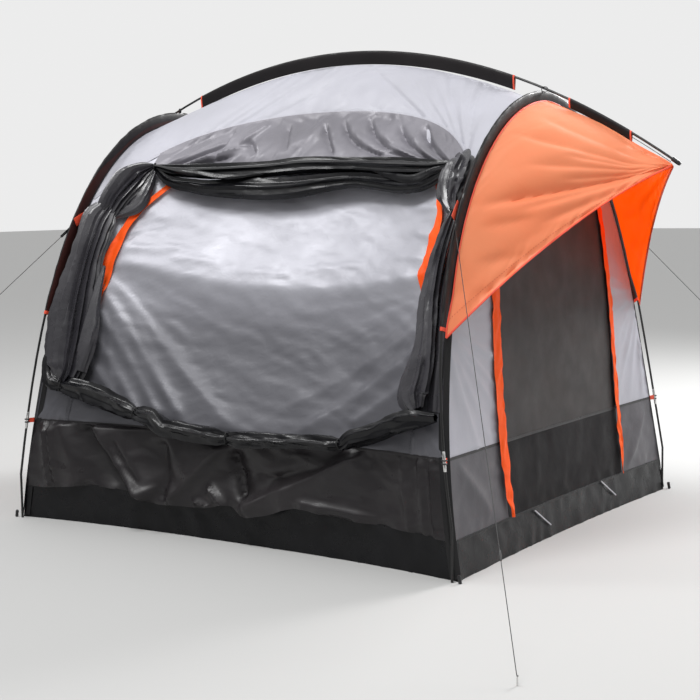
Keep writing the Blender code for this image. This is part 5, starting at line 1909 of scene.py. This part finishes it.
@dataclass
class Tub(Shop):
    """The black floor and its low wall."""

    def build(self) -> None:
        """Makes the wall round the foot and the floor inside it."""
        form, tailor = self.form, self.tailor

        def outline(u: Array, height: Array) -> Array:
            side = np.floor(u * 4).astype(int) % 4
            t = (u * 4) % 1 * 2 - 1
            across = np.choose(side, [t, np.ones_like(t), -t, -np.ones_like(t)])
            deep = np.choose(side, [-np.ones_like(t), t, np.ones_like(t), -t])
            half_y = form.face(across, height, 1.0)[..., 1]
            half_x = form.wall(deep * form.seam_y(height), height, 1.0)[..., 0]
            return stack(across * half_x, deep * half_y, height)

        def wall(u: Array, v: Array) -> Array:
            front = np.clip((u * 4) % 4, 0, 1) * 2 - 1
            return outline(u, np.where(u * 4 < 1, form.hem(front) + 0.004, form.tub_height) * v)

        folds: list[Relief] = [
            Pucker(Edge.TOP, 0.01, 0.07, 0.05, 131), Pucker(Edge.BOTTOM, 0.008, 0.09, 0.05, 132),
        ]
        tailor.sheet(
            "tub_wall", wall, (400, 7), Finish.TUB, folds, wrap=True, replaces=["bathtub_floor"],
            centre=(0, 0, 0.1), hangs_on=["vehicle_side_band"], free=[Edge.BOTTOM],
        )

        def floor(u: Array, v: Array) -> Array:
            across, deep = mix(-1, 1, u), mix(-1, 1, v)
            ground = np.full(np.shape(u), 0.0)
            half_y = form.face(across, ground, 1.0)[..., 1]
            half_x = form.wall(deep * form.seam_y(ground), ground, 1.0)[..., 0]
            return stack(across * half_x, deep * half_y, 0.0014)

        tailor.sheet(
            "tub_floor", floor, (30, 26), Finish.TUB, [Crumple(0.004, 0.15, 1.5, 20, 133)], axes=(0, 1),
            centre=(0, 0, -1), replaces=["bathtub_floor"], held=Held.LAID, hangs_on=["tub_wall"],
        )


@dataclass
class Frame(Shop):
    """The poles, their sleeves, ferrules and clips."""

    seam_off: float = 0.001
    sleeve_half: float = 0.0072
    past_pole: float = 0.0066

    def build(self) -> None:
        """Makes the sleeves, the ferrules and the clips, and finishes the rods."""
        for name in ("arch_pole_left", "arch_pole_right", "ridge_pole"):
            self.tailor.paint(name, Finish.POLE)
        for word, side in SIDES.items():
            self.arch_sleeve(word, side)
        form = self.form
        arch_x = float(form.pole_x(form.arch_height))
        self.ridge_sleeve("middle", -arch_x + 0.15, arch_x - 0.15, form.ridge_seam_gap, 84)
        for word, side in SIDES.items():
            low, high = sorted((side * (arch_x + 0.12), side * (arch_x + 0.42)))
            self.ridge_sleeve(word, low, high, form.awning_sew_drop, 24)
        for word, side in SIDES.items():
            self.ridge_end(word, side)
            for end_word, end in ENDS.items():
                self.foot(f"{end_word}_{word}", side, end)
                self.guy_patch(f"{end_word}_{word}", side, end)

    def ring(self, u: Array, reach: Array) -> tuple[Array, Array]:
        """A flat band round a pole: out from the seam, and sideways."""
        out = (1 - np.cos(2 * np.pi * u)) / 2
        half = mix(0.0035, self.sleeve_half, smooth(out * 1.25))
        wide = np.sign(np.sin(2 * np.pi * u)) * np.abs(np.sin(2 * np.pi * u)) ** 0.55
        return out * reach, half * wide

    def binding(self, name: str, place: Callable[..., Array], ends: Sequence[tuple[float, float]]) -> None:
        """Thin orange bindings at the ends of a sleeve."""
        for k, (low, high) in enumerate(ends):
            u, v = np.meshgrid(np.linspace(0, 1, 25)[:24], np.linspace(low, high, 5))
            grid = place(u, v, 0.0012)
            out = self.tailor.normals(grid, True)
            outward = np.sign(np.sum(out * (grid - grid.mean(axis=1, keepdims=True))))
            self.tailor.thick(f"{name}_binding_{k}", grid, out * outward, 0.0009, Finish.ORANGE_TAPE, True)

    def arch_sleeve(self, word: str, side: float) -> None:
        """The sleeve over an arch, with a binding at both ends and a reddish strip towards the body: painted
        orange light from the awning.
        """
        form = self.form
        start = form.arch_angle(form.sleeve_end_height)
        noise = Noise(140 + int(side))

        def place(u: Array, v: Array, spare: float = 0.0) -> Array:
            angle = mix(start, np.pi - start, v)
            (y, z), (out_y, out_z) = form.arch(angle), form.arch_outward(angle)
            gap = form.seam_gap(z)
            out, sideways = self.ring(u, gap + self.past_pole - self.seam_off)
            wave = noise.at(angle * 30, u * 2) + 0.5 * noise.at(angle * 75, u * 5 + 9)
            sideways = sideways * (0.84 + 0.26 * wave) + np.sign(sideways) * spare
            out = out + self.seam_off - gap + (out > 0.03) * 0.003 * (wave - 0.9) + spare
            return stack(side * form.pole_x(z) + sideways * side, y + out * out_y, z + out * out_z)

        self.tailor.sheet(
            f"{word}_pole_sleeve", place, (18, 230), Finish.ARCH_SLEEVE, (), wrap=True, centre=(0, 0, 1),
            replaces=[f"arch_sleeve_{word}"], hangs_on=[f"arch_pole_{word}"], thickness=SLEEVE,
        )
        # A reddish strip on the sleeve's inner part: painted orange light from the awning.
        self.tailor.sheet(
            f"{word}_sleeve_orange_glow",
            lambda u, v: place(mix(mix(0.8, 0.56, smooth((np.abs(v - 0.5) - 0.2) / 0.12)), 0.9, u),
                               mix(0.004, 0.996, v), 0.0012),
            (4, 230), Finish.ORANGE_GLOW_TINT, (), centre=(side * 3, 0, 1), thickness=MESH,
            hangs_on=[f"arch_pole_{word}"],
        )
        self.binding(f"{word}_sleeve", place, ((0.0, 0.004), (0.996, 1.0)))

    def ridge_sleeve(self, word: str, low: float, high: float, gap: float, count: int) -> None:
        """A sleeve round the ridge pole."""
        form = self.form
        noise = Noise(150 + count)

        def place(u: Array, v: Array, spare: float = 0.0) -> Array:
            x = mix(low, high, v)
            out, sideways = self.ring(u, gap + self.past_pole - self.seam_off)
            wave = noise.at(x * 26, u * 2) + 0.5 * noise.at(x * 60, u * 5 + 9)
            sideways = sideways * (0.84 + 0.26 * wave) + np.sign(sideways) * spare
            return stack(x, sideways, form.ridge_z(x) - gap + self.seam_off + out + spare * (out > 0.03))

        self.tailor.sheet(
            f"{word}_ridge_sleeve_cloth", place, (18, count), Finish.ARCH_SLEEVE, (), wrap=True,
            replaces=[f"ridge_sleeve_{word}"], hangs_on=["ridge_pole"], thickness=SLEEVE,
        )
        share = 0.008 / (high - low)
        self.binding(f"{word}_ridge_sleeve", place, ((0.0, share), (1 - share, 1.0)))

    def ridge_end(self, word: str, side: float) -> None:
        """A cap and a loop at the end of the ridge pole, and a tie where it crosses the arch."""
        form, tailor = self.form, self.tailor

        def at(x: Array | float, drop: float = 0.0) -> Array:
            return stack(side * np.asarray(x, float), 0.0, form.ridge_z(x) - drop)

        reach = form.ridge_half_reach
        x = np.array([reach - 0.036, reach - 0.035, reach - 0.004, reach + 0.002])
        tailor.tube(f"{word}_ridge_cap", at(x), np.array([0.006, 0.0098, 0.0098, 0.007]), Finish.MOULDED, 16)
        cord = at(np.linspace(float(form.pole_x(form.arch_height)) + 0.42, reach - 0.04, 12), 0.018)
        tailor.tube(f"{word}_tip_elastic", cord, 0.0016, Finish.MOULDED, 8)
        cross = at(float(form.pole_x(form.arch_height)), 0.004)
        angle = np.linspace(0, 2 * np.pi, 32, endpoint=False)[:, None]
        round_ = stack(np.cos(angle[:, 0]) * side, np.cos(angle[:, 0]) * 0.7, np.sin(angle[:, 0]))
        tailor.tape(
            f"{word}_crossing_tie", cross + round_ * 0.011, unit(round_), 0.008, Finish.WEBBING,
            TIE_THICKNESS, closed=True,
        )

    def guy_patch(self, name: str, side: float, end: float) -> None:
        """The orange patch inside an arch sleeve where a guy line is made fast."""
        form = self.form
        low = form.arch_angle(1.43)
        angle = np.linspace(low, low + 0.055, 14)
        (y, z), (out_y, out_z) = form.arch(angle), form.arch_outward(angle)
        back = np.linspace(0.006, 0.06, 14) if side < 0 else np.linspace(-0.008, 0.006, 14)
        x = form.pole_x(z) - 0.0105
        line = stack(side * x, end * (y - back * out_y), z - back * out_z)
        facing = np.broadcast_to([-side, 0.0, 0.0], line.shape)
        self.tailor.tape(f"{name}_guy_patch", line, facing, 0.042, Finish.ORANGE_TAPE, 0.0022)

    def foot(self, name: str, side: float, end: float) -> None:
        """A leg's metal ferrule and tip, and its clip with a strap to the corner."""
        form, tailor = self.form, self.tailor

        def leg(z: Array) -> Array:
            share = (z / form.arch_height) ** form.arch_exponent
            return stack(side * form.pole_x(z), end * form.arch_half_span * np.sqrt(1 - share), z)

        z = np.array([0.44, 0.442, 0.46, 0.5, 0.518, 0.52])
        radius = np.array([0.0056, 0.0066, 0.0068, 0.0068, 0.0066, 0.0056])
        tailor.tube(f"{name}_ferrule", leg(z), radius, Finish.STEEL, 14)
        tailor.tube(
            f"{name}_foot_tip", leg(np.array([0.0005, 0.004, 0.03, 0.034])),
            np.array([0.006, 0.0075, 0.0075, 0.0058]), Finish.MOULDED, 14,
        )
        at = leg(np.array(form.band_height))
        angle = np.linspace(-2.5, 2.5, 26)
        ring = at + stack(0.0095 * np.sin(angle) * side, 0.0095 * np.cos(angle) * end, 0)
        hooks = [ring + np.array([0, 0, dz]) for dz in (-0.007, 0.007)]
        made = [
            tailor.tube(f"{name}_hook_{k}", hook, 0.0032, Finish.MOULDED, 8) for k, hook in enumerate(hooks)
        ]
        seam = form.wall(end * form.seam_y(form.band_height), np.array(form.band_height), side, 0.0)
        start = at - np.array([0, end * 0.008, 0])
        line = start + (seam - start) * np.linspace(0, 1, 8)[:, None]
        strap = tailor.tape(f"{name}_clip_strap", line, np.broadcast_to([side, 0.0, 0.0], line.shape), 0.022,
                            Finish.ORANGE_TAPE, 0.002)
        for piece in (strap, *made):
            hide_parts(f"leg_clip_{name}")


@dataclass
class Guying(Shop):
    """The lines to the pegs, with a runner and loops on each."""

    hold_height: float = 1.4
    out_x: float = 0.75
    out_y: float = 0.97
    peg_height: float = 0.034

    def build(self) -> None:
        """Finishes the lines and pegs, and makes the runners and loops."""
        form, tailor = self.form, self.tailor
        share = (self.hold_height / form.arch_height) ** form.arch_exponent
        hold_y = form.arch_half_span * math.sqrt(1 - share)
        hold = np.array([form.pole_x(self.hold_height), hold_y, self.hold_height])
        for end_word, end in ENDS.items():
            for word, side in SIDES.items():
                name = f"{end_word}_{word}"
                tailor.paint(f"guy_line_{name}", Finish.CORD)
                tailor.paint(f"guy_peg_{name}", Finish.STEEL)
                top = hold * np.array([side, end, 1])
                peg = np.array([side * (form.foot_half_width + self.out_x),
                                end * (form.arch_half_span + self.out_y), self.peg_height * 0.6])
                line = mix(top, peg, np.array([[0.765], [0.775], [0.785]]))
                tailor.tube(f"{name}_runner", line, np.array([0.0035, 0.005, 0.0035]), Finish.MOULDED, 8)
                tape = mix(top, peg, np.linspace(-0.01, 0.03, 6)[:, None])
                tailor.tape(f"{name}_guy_loop", tape, np.broadcast_to([side, 0, 0], tape.shape), 0.014,
                            Finish.WEBBING, 0.002)


@dataclass
class Studio:
    """Camera, floor, sky and lamps."""

    camera_at: Point = (4.033, -6.039, 1.514)
    yaw: float = 33.772
    pitch: float = -5.835
    roll: float = -0.825
    focal: float = 1461.58 / 700 * 36

    def build(self) -> None:
        """Sets the stage."""
        self.camera()
        self.floor()
        self.sky()
        self.lamp("key", (0.5, -3.2, 7.2), (0, 0, 0.9), 2.4, 275)
        self.lamp("left", (-3.7, -2.5, 6.6), (0, -1, 1.1), 1.15, 82)
        self.lamp("behind", (2.6, 6.0, 4.8), (1.0, 0.2, 1.5), 2.4, 600)

    def camera(self) -> None:
        """A camera at the photograph's angle."""
        yaw, pitch, roll = (math.radians(v) for v in (self.yaw, self.pitch, self.roll))
        ahead = np.array([-math.sin(yaw) * math.cos(pitch), math.cos(yaw) * math.cos(pitch), math.sin(pitch)])
        right = np.array([math.cos(yaw), math.sin(yaw), 0])
        up = np.cross(right, ahead)
        level_x = right * math.cos(roll) + up * math.sin(roll)
        level_y = up * math.cos(roll) - right * math.sin(roll)
        data = bpy.data.cameras.new("view")
        data.lens, data.sensor_width = self.focal, 36.0
        made = bpy.data.objects.new("view", data)
        columns = np.stack([level_x, level_y, -ahead, np.array(self.camera_at)], axis=1)
        made.matrix_world = Matrix([*columns.tolist(), [0, 0, 0, 1]])
        bpy.context.scene.collection.objects.link(made)
        bpy.context.scene.camera = made

    def floor(self) -> None:
        """A plain pale floor."""
        half = FLOOR_HALF
        data = bpy.data.meshes.new("studio_floor")
        corners = [(-half, -half, 0), (half, -half, 0), (half, half, 0), (-half, half, 0)]
        data.from_pydata(corners, [], [(0, 1, 2, 3)])
        made = bpy.data.objects.new("studio_floor", data)
        paint = bpy.data.materials.new("studio_floor")
        paint.use_nodes = True
        shader = paint.node_tree.nodes["Principled BSDF"]
        shader.inputs["Base Color"].default_value = FLOOR_TONE
        shader.inputs["Roughness"].default_value = 0.9
        data.materials.append(paint)
        bpy.context.scene.collection.objects.link(made)

    def sky(self) -> None:
        """Soft light from all round, stronger from above."""
        world = bpy.data.worlds.new("studio")
        world.use_nodes = True
        n = NodeSet(world)
        split = n.add("ShaderNodeSeparateXYZ", Vector=n.add("ShaderNodeTexCoord").outputs["Generated"])
        above, behind = (
            n.between(
                split.outputs[axis], interpolation_type="SMOOTHSTEP", From_Min=low, From_Max=high, To_Min=dark,
                To_Max=1.0,
            )
            for axis, low, high, dark in (("Z", 0.0, 0.9, 0.15), ("Y", -0.5, 0.5, 0.2))
        )
        back = world.node_tree.nodes["Background"]
        n.put(back.inputs["Strength"], n.math("MAXIMUM", above, n.math("MULTIPLY", behind, 0.84)))
        back.inputs["Color"].default_value = (1.0, 1.0, 1.0, 1)
        bpy.context.scene.world = world
        bpy.context.scene.view_settings.view_transform = "Standard"

    def lamp(self, name: str, at: Point, toward: Point, size: float, power: float) -> None:
        """A square soft lamp."""
        data = bpy.data.lights.new(name, "AREA")
        data.size, data.energy = size, power
        made = bpy.data.objects.new(name, data)
        back = unit(np.array(at) - np.array(toward))
        side = unit(np.cross([0, 1, 0.01], back))
        up = np.cross(back, side)
        columns = np.stack([side, up, back, np.array(at)], axis=1)
        made.matrix_world = Matrix([*columns.tolist(), [0, 0, 0, 1]])
        bpy.context.scene.collection.objects.link(made)


def main() -> None:
    """Dresses the tent and sets the stage."""
    logging.basicConfig(level=logging.INFO, format="%(name)s: %(message)s")
    form = TentForm()
    tailor = Tailor(form)
    kit = (form, tailor, Seamstress(tailor))
    Studio().build()
    Roof(*kit).build()
    VehicleSide(*kit).build()
    TunnelSleeve(*kit).build()
    Back(*kit).build()
    for word, side in SIDES.items():
        SideWall(*kit, word, side).build()
        Awning(*kit, word, side).build()
    Tub(*kit).build()
    Frame(*kit).build()
    Guying(*kit).build()


if __name__ == "__main__":
    main()
